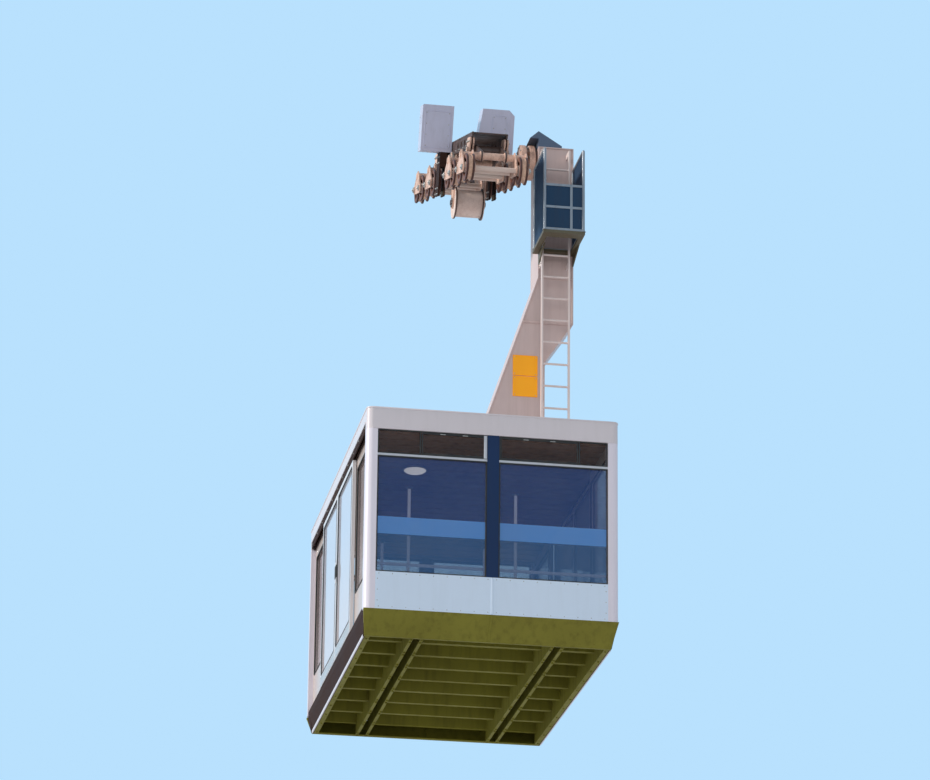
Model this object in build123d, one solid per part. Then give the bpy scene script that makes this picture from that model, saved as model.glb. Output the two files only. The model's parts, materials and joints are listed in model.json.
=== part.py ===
from build123d import *
import os
from math import cos, radians, sin

# Aerial tramway cabin with its hanger and its sixteen-wheel carriage, in millimetres.
# The origin lies midway between the two track ropes, at the middle of the carriage.
# X points to the hanger's side, Y up the line, Z straight up. The cabin hangs plumb.

# Line
LINE_TILT = 18.0            # degrees that the ropes rise along +Y at rest
TRACK_GAUGE = 660.0         # between the two track ropes
TRACK_ROPE_D = 46.0
HAUL_DROP = 310.0           # haul rope below the plane of the track ropes
RUN_FIT = 0.3               # radial clearance of a pin or shaft in its bore
SIDE_CLEAR = 12.0           # between a wheel and the plates beside it

# Wheels, bogies and rockers
WHEEL_D = 340.0
GROOVE_D = 280.0
WHEEL_W = 100.0
GROOVE_LAND = 18.0          # width of each flange at its crest
HUB_D = 130.0
WEB_T = 34.0
RIM_T = 24.0                # metal under the groove
WHEEL_DRAFT = 8.0           # slope of the web's faces
AXLE_D = 60.0
AXLE_SPACING = 440.0
BOGIE_SPACING = 1000.0
ROCKER_SPACING = 2660.0
BOGIE_PLATE_T = 14.0
BOGIE_PIVOT_RISE = 168.0    # bogie pivot above the axles
BOGIE_TUBE_D = 90.0
BOGIE_EYE_D = 120.0
PIVOT_EYE_D = 140.0         # of bogie and rocker plates round the bogie pivot
ROCKER_PLATE_T = 20.0
ROCKER_X = 150.0            # middle of each rocker plate from the centre line
ROCKER_RISE = 100.0         # rocker pivot above the bogie pivots
ROCKER_PIN_D = 100.0
ROCKER_EYE_D = 160.0
ROCKER_TUBE_D = 140.0

# Carriage frame
FRAME_X = 215.0             # middle of each side plate
FRAME_T = 20.0
FRAME_TOP = 640.0
FRAME_BOTTOM = 485.0
FRAME_END = 130.0           # plate beyond the rocker pivots
FRAME_CHAMFER = 60.0
BRACKET_T = 18.0
BRACKET_HALF = 130.0        # half the length of a pin bracket where it meets the side plate
BRACKET_LAP = 110.0         # how far a bracket laps up the side plate
COVER_T = 16.0
PIVOT_RISE = 450.0          # swing shaft above the ropes
SHAFT_D = 150.0
SHAFT_BOSS_D = 280.0
SHAFT_RING_D = 220.0
SHAFT_RING_W = 22.0
LIGHT_HOLE_D = 80.0
LIGHT_HOLE_PITCH = 260.0
LIGHT_HOLE_START = 400.0

# Haul rope drum and track rope brakes
DRUM_D = 400.0
DRUM_FLANGE_T = 16.0
DRUM_RIM = 26.0
DRUM_STUB_D = 80.0
DRUM_CHEEK_D = 150.0
HAUL_ROPE_D = 24.0
STUB_OUT = 12.0             # a pin's or stub's end beyond the plate that holds it
BRAKE_S = 230.0             # brakes up the line from the swing shaft
BRAKE_LEN = 240.0
JAW_T = 19.0
JAW_GAP = 3.0
JAW_DROP = 40.0
BRAKE_ARM_H = 80.0
BRAKE_ARM_IN = 60.0         # arm shorter than the brake at each end
BRAKE_BRIDGE = 330.0        # underside of the brake's bridge above the rope
HOUSING_BOTTOM = 520.0
HOUSING_H = 592.0
HOUSING_GAP = 7.0           # beside the frame's plates
HOUSING_W = (400.0, 320.0)  # on the far side from the hanger, and on its side
HOUSING_OVERHANG = (0.0, 150.0)
HOUSING_TAPER = (0.0, 60.0)
HOUSING_CHAMFER = (12.0, 70.0)

# Cabin
CABIN_SHIFT = 110.0         # cabin centre line lies this far from the ropes' mid-line
ROOF_DROP = 3870.0          # roof top below the ropes
CABIN_W = 3000.0
CABIN_L = 5040.0
CORNER_R = 70.0
PANEL_BOTTOM = 2460.0       # depths are below the roof top
SKIRT_BOTTOM = 2720.0
SKIRT_INSET = 250.0
WINDOW_TOP = 270.0
WINDOW_BOTTOM = 2010.0
POST_W = 130.0
FASCIA_T = 25.0
SIDE_FASCIA = 180.0
ROOF_T = 60.0
CEILING_Z = 250.0
CEILING_T = 15.0
CEILING_GAP = 10.0          # between the ceiling's edge and the leaves
SLAT_PITCH = 210.0          # ceiling boards across the cabin
SLAT_GROOVE = 22.0
SLAT_GROOVE_H = 8.0
ROOF_HATCH_W = 700.0
ROOF_HATCH_X = -800.0
ROOF_HATCH_H = 45.0
ROOF_HATCH_LIP = 25.0
END_PANEL_T = 45.0
PANEL_JOINT = 4.0
MULLION_W = 140.0
MULLION_T = 60.0
TRANSOM_Z = 580.0
TRANSOM_H = 26.0
TRANSOM_T = 40.0
GLASS_T = 8.0
GLASS_INSET = 22.0
TRANSOM_IN = 6.0
SIDE_WALL_SET = 105.0       # inner face of the side walls in from the cabin's outer face
SIDE_WALL_T = 45.0
DOORWAY_L = 2550.0          # between the fixed side panels
SIDE_WIN_MARGIN = 90.0
SIDE_WIN_TOP = 400.0
SIDE_WIN_BOTTOM = 1950.0

# Doors
DOOR_SET = 50.0             # inner face of the leaves in from the cabin's outer face
DOOR_T = 42.0
DOOR_LAP = 25.0             # of each closed leaf over the fixed panel
DOOR_GAP = 4.0              # from the doorway's middle to each leaf
DOOR_TOP = 268.0
DOOR_BOTTOM = 2400.0
DOOR_FRAME = 62.0
DOOR_KICK = 150.0
TRACK_T = 4.0
TRACK_FACE = 5.0            # track's outer face in from the cabin's
TRACK_BOTTOM = 258.0
TRACK_SLOT = 20.0
TRACK_GAP = 4.0             # between the track's end and the corner
ROLLER_D = 35.4
ROLLER_W = 32.0
ROLLER_IN = 190.0           # from each end of a leaf
TAB_T = 10.0
TAB_L = 60.0
TONGUE_IN = 20.0
GUIDE_DEPTH = 24.0
GUIDE_GAP = 6.0
HANDLE_H = 260.0
HANDLE_W = 36.0
HANDLE_IN = 13.0            # from a leaf's meeting edge
HANDLE_TOP = 1150.0
HANDLE_T = 8.0

# Floor and underframe
FLOOR_TOP = 2380.0
FLOOR_T = 60.0
PAN_T = 15.0
SILL_TOP = 2405.0
SILL_BOTTOM = 2500.0
SILL_SET = 12.0             # face of the sill in from the cabin's outer face
VALANCE_FOOT = 14.0         # thickness of the sill's sloping valance at its foot
BEAM_GAP = 20.0             # between the beams' ends and the end skirts
EDGE_BEAM_W = 60.0
LONG_BEAM_X = 830.0
LONG_BEAM_W = 160.0
BEAM_WALL = 10.0
BEAM_LIP = 38.0
CROSS_H = 130.0
CROSS_W = 60.0
CROSS_PITCH = 537.5
PAN_RIB_H = 12.0
PAN_RIB_W = 60.0
PAN_RIBS = 3                # pressed ribs between two cross-members
SKIRT_T = 25.0
SKIRT_TOP_T = 35.0

# Hanger
HANGER_DEPTH = 520.0
HANGER_RIM = 14.0
HANGER_WEB_INSET = 18.0
COLUMN_X0 = 830.0
COLUMN_X1 = 1280.0
LEG_X0 = -50.0
LEG_X1 = 920.0
KINK_LOW = 1520.0           # heights above the roof top
KINK_OUTER = 2050.0
KINK_INNER = 2650.0
HEAD_RISE = 130.0           # top of the hanger above the swing shaft
RIB_T = 14.0                # stiffeners across the webs
CAP_H = 210.0               # sloping cover on the hanger's head
CAP_EDGE = 25.0
CAP_OVER = 110.0            # cover beyond the column's inner edge
CAP_EAVE = 110.0
CAP_SHORT = 150.0           # cover short of the column's outer edge
BASE_T = 20.0
BASE_MARGIN = 60.0
SHAFT_OUT = 20.0            # swing shaft beyond the carriage and the hanger
DAMPER_D = 440.0
DAMPER_W = 70.0
DAMPER_X = (620.0, 730.0)
SLEEVE_D = 190.0

# Ladder, service platform and plates
LADDER_W = 362.0            # outside width
LADDER_OUT = 150.0          # ladder in front of the hanger's face
LADDER_DROP = 100.0         # ladder's top below the hanger's
STILE_W = 22.0
STILE_DEPTH = 50.0
STILE_BRACKET_H = 60.0
STILE_BRACKETS = 3
RUNG_D = 26.0
RUNG_PITCH = 290.0
DECK_DROP = 1298.0          # platform's floor below the swing shaft
DECK_IN = 75.0              # deck beyond the column's inner edge
DECK_L = 760.0
DECK_T = 40.0
HATCH_W = 400.0
HATCH_L = 500.0
HATCH_GAP = 12.0            # between the hatch's edge and the ladder
RAIL_H = 1100.0
RAIL_D = 36.0
RAIL_GAP = 60.0             # between the rail and the hanger's face
SHEET_T = 6.0
FRONT_SHEET_H = 620.0
STRIP_W = 30.0              # flat bars that frame the front sheet
STRIP_T = 10.0
STRIP_FRAME_W = 350.0
GUSSET_L = 420.0
GUSSET_H = 140.0
NOTICE_X0 = 520.0
NOTICE_W = 310.0
NOTICE_Z0 = 1060.0
NOTICE_H = 265.0
NOTICE_GAP = 10.0
NOTICE_T = 6.0

# Inside
POLE_D = 38.0
POLE_X = 660.0
POLES_Y = (-340.0, 1900.0)
BOARD_TOP = 1300.0          # waist board inside each end window
BOARD_H = 210.0
BOARD_T = 30.0
BOARD_IN = 25.0             # middle of the board in from the corner posts
FOOT_RAIL_Z = 1870.0

# Worked out from the sizes above
WHEEL_N = TRACK_ROPE_D / 2 + GROOVE_D / 2
BOGIE_N = WHEEL_N + BOGIE_PIVOT_RISE
ROCKER_N = BOGIE_N + ROCKER_RISE
INNER_PLATE = TRACK_GAUGE / 2 - WHEEL_W / 2 - SIDE_CLEAR - BOGIE_PLATE_T / 2
OUTER_PLATE = TRACK_GAUGE / 2 + WHEEL_W / 2 + SIDE_CLEAR + BOGIE_PLATE_T / 2
AXLE_END = OUTER_PLATE + BOGIE_PLATE_T
DRUM_N = DRUM_D / 2 - DRUM_RIM + HAUL_ROPE_D / 2 - HAUL_DROP
FRAME_IN = FRAME_X - FRAME_T / 2
FRAME_OUT = FRAME_X + FRAME_T / 2
FRAME_REACH = ROCKER_SPACING / 2 + FRAME_END
PIVOT_Y = -PIVOT_RISE * sin(radians(LINE_TILT))
PIVOT_Z = PIVOT_RISE * cos(radians(LINE_TILT))
PIVOT_H = ROOF_DROP + PIVOT_Z
ROCKERS = {"lower": -ROCKER_SPACING / 2, "upper": ROCKER_SPACING / 2}
BOGIES = {
    "1": ROCKERS["lower"] - BOGIE_SPACING / 2,
    "2": ROCKERS["lower"] + BOGIE_SPACING / 2,
    "3": ROCKERS["upper"] - BOGIE_SPACING / 2,
    "4": ROCKERS["upper"] + BOGIE_SPACING / 2,
}
HALF_W = CABIN_W / 2
HALF_L = CABIN_L / 2
BAY = HALF_L - POST_W                   # inner face of the corner posts along Y
PANE_X = HALF_W - POST_W
WALL_IN = HALF_W - SIDE_WALL_SET
WALL_OUT = WALL_IN + SIDE_WALL_T
DOOR_IN = HALF_W - DOOR_SET
DOOR_MID = DOOR_IN + DOOR_T / 2
DOOR_END = DOORWAY_L / 2 + DOOR_LAP
UNDER = FLOOR_TOP + FLOOR_T
VALANCE_OUT = WALL_OUT + VALANCE_FOOT
BEAM_END = HALF_L - SKIRT_INSET - SKIRT_T - BEAM_GAP
HEAD_TOP = PIVOT_H + HEAD_RISE
LADDER_X0 = COLUMN_X0 + HANGER_RIM
LADDER_X1 = LADDER_X0 + LADDER_W
DECK_X0 = COLUMN_X0 - DECK_IN
DECK_X1 = COLUMN_X1
DECK_Z = PIVOT_H - DECK_DROP
FRONT = -HANGER_DEPTH / 2

os.makedirs("parts", exist_ok=True)


# Shapes that several pieces share

def block(x0, x1, y0, y1, z0, z1):
    """A box from its low and high corners, in any order."""
    size = (abs(x1 - x0), abs(y1 - y0), abs(z1 - z0))
    return Pos((x0 + x1) / 2, (y0 + y1) / 2, (z0 + z1) / 2) * Box(*size)


def rod_x(x0, x1, y, z, d):
    """A round bar along X."""
    return Pos((x0 + x1) / 2, y, z) * Rot(0, 90, 0) * Cylinder(d / 2, abs(x1 - x0))


def rod_y(x, y0, y1, z, d):
    """A round bar along Y."""
    return Pos(x, (y0 + y1) / 2, z) * Rot(90, 0, 0) * Cylinder(d / 2, abs(y1 - y0))


def rod_z(x, y, z0, z1, d):
    """A round bar along Z."""
    return Pos(x, y, (z0 + z1) / 2) * Cylinder(d / 2, abs(z1 - z0))


def bore_x(x, t, y, z, d):
    """A round cut along X, right through a plate of thickness t whose middle is at x."""
    return rod_x(x - t, x + t, y, z, d)


def link(eyes, x, t):
    """A flat plate across X whose outline wraps round eyes given as (y, z, diameter)."""
    rings = ShapeList()
    for y, z, d in eyes:
        rings += (Pos(y, z) * Circle(d / 2)).edges()
    return extrude(Plane.YZ.offset(x - t / 2) * make_hull(rings), t)


def profile_x(points, x0, x1):
    """A closed outline of (y, z) points carried along X."""
    return extrude(Plane.YZ.offset(x0) * Polygon(*points, align=None), x1 - x0, dir=(1, 0, 0))


def profile_y(sketch, y0, y1):
    """A sketch of (x, z) carried along Y."""
    return extrude(Plane.XZ.offset(-y0) * sketch, y1 - y0, dir=(0, 1, 0))


def join(shapes):
    """One solid from shapes that meet."""
    return Part() + list(shapes)


def save(name, shapes):
    solids = []
    for shape in shapes:
        solids += shape.solids()
    piece = solids[0] if len(solids) == 1 else Compound(solids)
    export_step(piece, "parts/" + name + ".step")


def on_line(shape):
    """Tilt a carriage piece from level to the rope's slope."""
    return shape.rotate(Axis.X, LINE_TILT)


def in_cabin(shape):
    """Move a cabin piece from the roof's centre to where it hangs."""
    return Pos(-CABIN_SHIFT, PIVOT_Y, -ROOF_DROP) * shape


def on_hanger(shape):
    """Move a hanger piece, drawn from the roof top up, to where it hangs."""
    return Pos(0, PIVOT_Y, -ROOF_DROP) * shape


# Wheels: two grooved wheels on one axle

def wheel(x):
    rim = WHEEL_W / 2
    land = rim - GROOVE_LAND
    outer = WHEEL_D / 2
    groove = GROOVE_D / 2
    inner = groove - RIM_T
    web = WEB_T / 2
    hub = HUB_D / 2
    axle = AXLE_D / 2
    outline = Polyline(
        (-land, outer), (-rim, outer), (-rim, inner), (-web, inner - WHEEL_DRAFT), (-web, hub + WHEEL_DRAFT),
        (-rim, hub), (-rim, axle), (rim, axle), (rim, hub), (web, hub + WHEEL_DRAFT),
        (web, inner - WHEEL_DRAFT), (rim, inner), (rim, outer), (land, outer),
    )
    seat = ThreePointArc((land, outer), (0, groove), (-land, outer))
    section = make_face(outline.edges() + seat.edges())
    return Pos(x, 0, 0) * revolve(section, Axis.X)


def wheelset(s):
    axle = rod_x(-AXLE_END, AXLE_END, 0, 0, AXLE_D)
    pair = wheel(-TRACK_GAUGE / 2) + wheel(TRACK_GAUGE / 2)
    return Pos(0, s, WHEEL_N) * (axle + pair)


for key, centre in BOGIES.items():
    for letter, lead in (("a", -AXLE_SPACING / 2), ("b", AXLE_SPACING / 2)):
        save("wheelset_" + key + letter, [on_line(wheelset(centre + lead))])


# Bogies: four plates on a pivot tube, each pair straddling one rope's wheels

def bogie(s):
    low = s - AXLE_SPACING / 2
    high = s + AXLE_SPACING / 2
    parts = []
    for x in (-OUTER_PLATE, -INNER_PLATE, INNER_PLATE, OUTER_PLATE):
        plate = link([(low, WHEEL_N, BOGIE_EYE_D), (high, WHEEL_N, BOGIE_EYE_D), (s, BOGIE_N, PIVOT_EYE_D)],
                     x, BOGIE_PLATE_T)
        for y in (low, high):
            plate -= bore_x(x, BOGIE_PLATE_T, y, WHEEL_N, AXLE_D + 2 * RUN_FIT)
        parts.append(plate)
    parts.append(rod_x(-AXLE_END, AXLE_END, s, BOGIE_N, BOGIE_TUBE_D))
    return join(parts)


for key, centre in BOGIES.items():
    save("bogie_" + key, [on_line(bogie(centre))])


# Rockers: a beam of two plates that shares the load between two bogies and turns on its own trunnions

def rocker(s):
    parts = []
    for x in (-ROCKER_X, ROCKER_X):
        for y in (s - BOGIE_SPACING / 2, s + BOGIE_SPACING / 2):
            arm = link([(y, BOGIE_N, PIVOT_EYE_D), (s, ROCKER_N, ROCKER_EYE_D)], x, ROCKER_PLATE_T)
            parts.append(arm - bore_x(x, ROCKER_PLATE_T, y, BOGIE_N, BOGIE_TUBE_D + 2 * RUN_FIT))
    span = FRAME_IN - BRACKET_T - SIDE_CLEAR
    parts.append(rod_x(-span, span, s, ROCKER_N, ROCKER_TUBE_D))
    trunnion = FRAME_OUT + BRACKET_T + STUB_OUT
    parts.append(rod_x(-trunnion, trunnion, s, ROCKER_N, ROCKER_PIN_D))
    return join(parts)


for name, centre in ROCKERS.items():
    save("rocker_" + name, [on_line(rocker(centre))])


# Carriage frame: two side plates under a cover, with brackets for the rockers and cheeks for the drum

def side_plate(x):
    plate = block(x - FRAME_T / 2, x + FRAME_T / 2, -FRAME_REACH, FRAME_REACH, FRAME_BOTTOM, FRAME_TOP)
    plate = chamfer(plate.edges().filter_by(Axis.X).group_by(Axis.Z)[0], FRAME_CHAMFER)
    count = int((FRAME_REACH - LIGHT_HOLE_START) // LIGHT_HOLE_PITCH)
    middle = (FRAME_BOTTOM + FRAME_TOP) / 2
    for side in (-1, 1):
        for k in range(count + 1):
            y = side * (LIGHT_HOLE_START + k * LIGHT_HOLE_PITCH)
            plate -= bore_x(x, FRAME_T, y, middle, LIGHT_HOLE_D)
    return plate - bore_x(x, FRAME_T, 0, PIVOT_RISE, SHAFT_D + 2 * RUN_FIT)


def pin_bracket(x, s):
    foot = BRACKET_LAP / 2
    lap = FRAME_BOTTOM + BRACKET_LAP - foot
    plate = link([(s, ROCKER_N, ROCKER_EYE_D), (s - BRACKET_HALF + foot, lap, BRACKET_LAP),
                  (s + BRACKET_HALF - foot, lap, BRACKET_LAP)], x, BRACKET_T)
    return plate - bore_x(x, BRACKET_T, s, ROCKER_N, ROCKER_PIN_D + 2 * RUN_FIT)


def cheek(side):
    x = side * (FRAME_IN - BRACKET_T / 2)
    plate = link([(0, PIVOT_RISE, SHAFT_BOSS_D), (0, DRUM_N, DRUM_CHEEK_D)], x, BRACKET_T)
    plate += rod_x(x, x - side * (BRACKET_T / 2 + SHAFT_RING_W), 0, PIVOT_RISE, SHAFT_RING_D)
    plate -= bore_x(x, BRACKET_T + SHAFT_RING_W, 0, PIVOT_RISE, SHAFT_D + 2 * RUN_FIT)
    return plate - bore_x(x, BRACKET_T, 0, DRUM_N, DRUM_STUB_D)


brackets = [cheek(side) for side in (-1, 1)]
for x in (FRAME_IN - BRACKET_T / 2, FRAME_OUT + BRACKET_T / 2):
    for side in (-1, 1):
        brackets += [pin_bracket(side * x, s) for s in ROCKERS.values()]
save("carriage_plates", [on_line(side_plate(x)) for x in (-FRAME_X, FRAME_X)])
save("carriage_brackets", [on_line(b) for b in brackets])
save("carriage_cover", [on_line(block(-FRAME_OUT, FRAME_OUT, -FRAME_REACH, FRAME_REACH,
                                      FRAME_TOP, FRAME_TOP + COVER_T))])


# Haul rope drum: a bollard with raised rims, fixed between the carriage's cheeks

def haul_drum():
    half = FRAME_IN - BRACKET_T
    drum = rod_x(-half, half, 0, DRUM_N, DRUM_D - 2 * DRUM_RIM)
    for side in (-1, 1):
        drum += rod_x(side * half, side * (half - DRUM_FLANGE_T), 0, DRUM_N, DRUM_D)
    stub = FRAME_IN + STUB_OUT
    return drum + rod_x(-stub, stub, 0, DRUM_N, DRUM_STUB_D)


save("haul_rope_drum", [on_line(haul_drum())])


# Track rope brakes: a yoke over each rope under a tall housing

def brake(side):
    x = side * TRACK_GAUGE / 2
    s0 = BRAKE_S - BRAKE_LEN / 2
    s1 = BRAKE_S + BRAKE_LEN / 2
    near = TRACK_ROPE_D / 2 + JAW_GAP
    parts = [block(x - near - JAW_T, x + near + JAW_T, s0, s1, BRAKE_BRIDGE, HOUSING_BOTTOM)]
    for way in (-1, 1):
        parts.append(block(x + way * near, x + way * (near + JAW_T), s0, s1, -JAW_DROP, BRAKE_BRIDGE))
    parts.append(block(side * FRAME_OUT, x, s0 + BRAKE_ARM_IN, s1 - BRAKE_ARM_IN,
                       HOUSING_BOTTOM - BRAKE_ARM_H, HOUSING_BOTTOM))
    return join(parts)


def housing(index, side):
    near = FRAME_OUT + HOUSING_GAP
    far = near + HOUSING_W[index]
    top = HOUSING_BOTTOM + HOUSING_H
    over = near - HOUSING_OVERHANG[index]
    cut = HOUSING_CHAMFER[index]
    step = FRAME_TOP + COVER_T
    points = [(near, HOUSING_BOTTOM), (far, HOUSING_BOTTOM), (far, top - cut), (far - cut, top),
              (over + HOUSING_TAPER[index], top), (over, step)]
    if over < near:
        points.append((near, step))
    outline = Polygon(*[(side * x, n) for x, n in points], align=None)
    return profile_y(outline, BRAKE_S - BRAKE_LEN / 2, BRAKE_S + BRAKE_LEN / 2)


save("rope_brakes", [on_line(brake(side)) for side in (-1, 1)])
save("brake_housings", [on_line(housing(i, side)) for i, side in enumerate((-1, 1))])


# Hanger: a welded box whose rims stand proud of its webs

def hanger_section(points, ribs):
    """The box of an outline of (x, z), with level stiffeners at the given heights."""
    outline = Polygon(*points, align=None)
    inner = offset(outline, -HANGER_RIM, kind=Kind.INTERSECTION)
    half = HANGER_DEPTH / 2
    web_half = half - HANGER_WEB_INSET
    box = profile_y(outline - inner, -half, half) + profile_y(inner, -web_half, web_half)
    for z in ribs:
        level = Pos(0, z) * Rectangle(2 * COLUMN_X1, RIB_T)
        box += profile_y(outline & level, -half, half)
    return box


def slant_x(z):
    """Inner edge of the hanger's leg at a height above the roof."""
    return LEG_X0 + (COLUMN_X0 - LEG_X0) * z / KINK_INNER


leg = [(LEG_X0, BASE_T), (LEG_X1, BASE_T), (LEG_X1, KINK_LOW), (COLUMN_X1, KINK_OUTER),
       (slant_x(KINK_OUTER), KINK_OUTER)]
column = [(slant_x(KINK_OUTER), KINK_OUTER), (COLUMN_X1, KINK_OUTER), (COLUMN_X1, HEAD_TOP),
          (COLUMN_X0, HEAD_TOP), (COLUMN_X0, KINK_INNER)]
column_mid = (COLUMN_X0 + COLUMN_X1) / 2
column_ribs = (KINK_INNER, DECK_Z - DECK_T / 2)
save("hanger_leg", [on_hanger(hanger_section(leg, (KINK_LOW / 2,)))])
column_bore = bore_x(column_mid, COLUMN_X1 - COLUMN_X0, 0, PIVOT_H, SHAFT_D)
save("hanger_column", [on_hanger(hanger_section(column, column_ribs) - column_bore)])

cap_x1 = COLUMN_X1 - CAP_SHORT
cap = [(COLUMN_X0, HEAD_TOP), (cap_x1, HEAD_TOP), (cap_x1, HEAD_TOP + CAP_EDGE),
       (COLUMN_X0, HEAD_TOP + CAP_H), (COLUMN_X0 - CAP_OVER, HEAD_TOP + CAP_EAVE),
       (COLUMN_X0, HEAD_TOP + CAP_EAVE)]
save("head_cap", [on_hanger(profile_y(Polygon(*cap, align=None), FRONT, -FRONT))])

base = block(LEG_X0 - BASE_MARGIN, LEG_X1 + BASE_MARGIN, FRONT - BASE_MARGIN, -FRONT + BASE_MARGIN, 0, BASE_T)
save("hanger_base", [on_hanger(base)])

shaft = rod_x(-FRAME_OUT - SHAFT_OUT, COLUMN_X1 + SHAFT_OUT, 0, PIVOT_H, SHAFT_D)
save("swing_shaft", [on_hanger(shaft)])

drums = rod_x(DAMPER_X[0], COLUMN_X0, 0, PIVOT_H, SLEEVE_D)
for x in DAMPER_X:
    drums += rod_x(x, x + DAMPER_W, 0, PIVOT_H, DAMPER_D)
sleeve_mid = (DAMPER_X[0] + COLUMN_X0) / 2
sleeve_bore = bore_x(sleeve_mid, COLUMN_X0 - DAMPER_X[0], 0, PIVOT_H, SHAFT_D)
save("swing_damper", [on_hanger(drums - sleeve_bore)])

notices = []
web_face = FRONT + HANGER_WEB_INSET
for row in (0, 1):
    z0 = NOTICE_Z0 + row * (NOTICE_H + NOTICE_GAP)
    notices.append(block(NOTICE_X0, NOTICE_X0 + NOTICE_W, web_face - NOTICE_T, web_face, z0, z0 + NOTICE_H))
save("notice_plates", [on_hanger(n) for n in notices])


# Ladder from the roof to the hanger's head: flat stiles on brackets, with round rungs between them

ladder_y = FRONT - LADDER_OUT
top = HEAD_TOP - LADDER_DROP
stiles = []
for x in (LADDER_X0, LADDER_X1 - STILE_W):
    stile = block(x, x + STILE_W, ladder_y - STILE_DEPTH / 2, ladder_y + STILE_DEPTH / 2, 0, top)
    lowest = KINK_INNER + 2 * STILE_BRACKET_H
    highest = top - STILE_BRACKET_H
    for k in range(STILE_BRACKETS):
        z = lowest + k * (highest - lowest) / (STILE_BRACKETS - 1)
        stile += block(x, x + STILE_W, ladder_y, web_face, z, z + STILE_BRACKET_H)
    stiles.append(stile)
save("ladder_stiles", [on_hanger(s) for s in stiles])

rungs = []
for k in range(1, int(top // RUNG_PITCH) + 1):
    rungs.append(rod_x(LADDER_X0 + STILE_W, LADDER_X1 - STILE_W, ladder_y, k * RUNG_PITCH, RUNG_D))
save("ladder_rungs", [on_hanger(r) for r in rungs])


# Service platform: a deck with a hatch for the ladder, and a rail round it

deck_y0 = FRONT - DECK_L
hatch_x = (LADDER_X0 + LADDER_X1) / 2
hatch_y1 = ladder_y + STILE_DEPTH / 2 + HATCH_GAP
deck = block(DECK_X0, DECK_X1, deck_y0, FRONT, DECK_Z - DECK_T, DECK_Z)
deck -= block(hatch_x - HATCH_W / 2, hatch_x + HATCH_W / 2, hatch_y1 - HATCH_L, hatch_y1,
              DECK_Z - 2 * DECK_T, DECK_Z + DECK_T)
gusset = [(FRONT, DECK_Z - DECK_T), (FRONT - GUSSET_L, DECK_Z - DECK_T), (FRONT, DECK_Z - DECK_T - GUSSET_H)]
for x in (COLUMN_X0, COLUMN_X1 - HANGER_RIM):
    deck += profile_x(gusset, x, x + HANGER_RIM)
save("platform_deck", [on_hanger(deck)])

rail_xs = (DECK_X0 + RAIL_D / 2, DECK_X1 - RAIL_D / 2)
rail_ys = (deck_y0 + RAIL_D / 2, FRONT - RAIL_GAP)
rail_top = DECK_Z + RAIL_H - RAIL_D / 2
strip_top = DECK_Z + FRONT_SHEET_H
strip_y = rail_ys[0] - SHEET_T / 2
rails = []
for x in rail_xs:
    for y in rail_ys:
        rails.append(rod_z(x, y, DECK_Z, rail_top, RAIL_D))
        rails.append(Pos(x, y, rail_top) * Sphere(RAIL_D / 2))
    rails.append(rod_y(x, *rail_ys, rail_top, RAIL_D))
for z in (DECK_Z, DECK_Z + (FRONT_SHEET_H - STRIP_W) / 2, strip_top - STRIP_W):
    rails.append(block(*rail_xs, strip_y - STRIP_T, strip_y, z, z + STRIP_W))
strip_x = rail_xs[0] + STRIP_FRAME_W
rails.append(block(strip_x - STRIP_W, strip_x, strip_y - STRIP_T, strip_y, DECK_Z, strip_top))
save("platform_rail", [on_hanger(join(rails))])

sheets = [block(rail_xs[0] + RAIL_D / 2, rail_xs[1] - RAIL_D / 2, strip_y, strip_y + SHEET_T,
                DECK_Z, strip_top)]
for x in rail_xs:
    sheets.append(block(x - SHEET_T / 2, x + SHEET_T / 2, rail_ys[0] + RAIL_D / 2, rail_ys[1] - RAIL_D / 2,
                        DECK_Z, rail_top - RAIL_D / 2))
save("platform_sheets", [on_hanger(s) for s in sheets])


# Roof: a flat panel inside a fascia that is deeper at the ends than over the doors

outline = RectangleRounded(CABIN_W, CABIN_L, CORNER_R)
inside = RectangleRounded(CABIN_W - 2 * FASCIA_T, CABIN_L - 2 * FASCIA_T, CORNER_R - FASCIA_T)
fascia = extrude(Pos(0, 0, -WINDOW_TOP) * (outline - inside), WINDOW_TOP)
fascia -= block(-CABIN_W, CABIN_W, -BAY, BAY, -WINDOW_TOP - FASCIA_T, -SIDE_FASCIA)
save("roof_fascia", [in_cabin(fascia)])
panel = extrude(Pos(0, 0, -ROOF_T) * inside, ROOF_T)
hatch = Pos(ROOF_HATCH_X, 0, 0)
panel += hatch * extrude(Rectangle(ROOF_HATCH_W, ROOF_HATCH_W), ROOF_HATCH_H / 2)
lid_w = ROOF_HATCH_W + 2 * ROOF_HATCH_LIP
lid = extrude(RectangleRounded(lid_w, lid_w, 2 * ROOF_HATCH_LIP), ROOF_HATCH_H / 2)
panel += hatch * Pos(0, 0, ROOF_HATCH_H / 2) * lid
save("roof_panel", [in_cabin(panel)])

ceiling_x = DOOR_IN - CEILING_GAP
ceiling = block(-ceiling_x, ceiling_x, -BAY, BAY, -CEILING_Z, -CEILING_Z + CEILING_T)
slats = int((BAY - SLAT_GROOVE) // SLAT_PITCH)
for k in range(-slats, slats + 1):
    y = k * SLAT_PITCH
    ceiling -= block(-WALL_IN, WALL_IN, y - SLAT_GROOVE / 2, y + SLAT_GROOVE / 2,
                     -CEILING_Z - CEILING_T, -CEILING_Z + SLAT_GROOVE_H)
save("ceiling", [in_cabin(ceiling)])

posts = []
core = extrude(Pos(0, 0, -PANEL_BOTTOM) * outline, PANEL_BOTTOM - WINDOW_TOP)
for sx in (-1, 1):
    for sy in (-1, 1):
        corner = block(sx * PANE_X, sx * CABIN_W, sy * BAY, sy * CABIN_L, -PANEL_BOTTOM, -WINDOW_TOP)
        posts.append(core & corner)
save("corner_posts", [in_cabin(p) for p in posts])


# Ends: two lower panels, two skirts, a centre mullion, two transoms and four panes each

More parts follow.
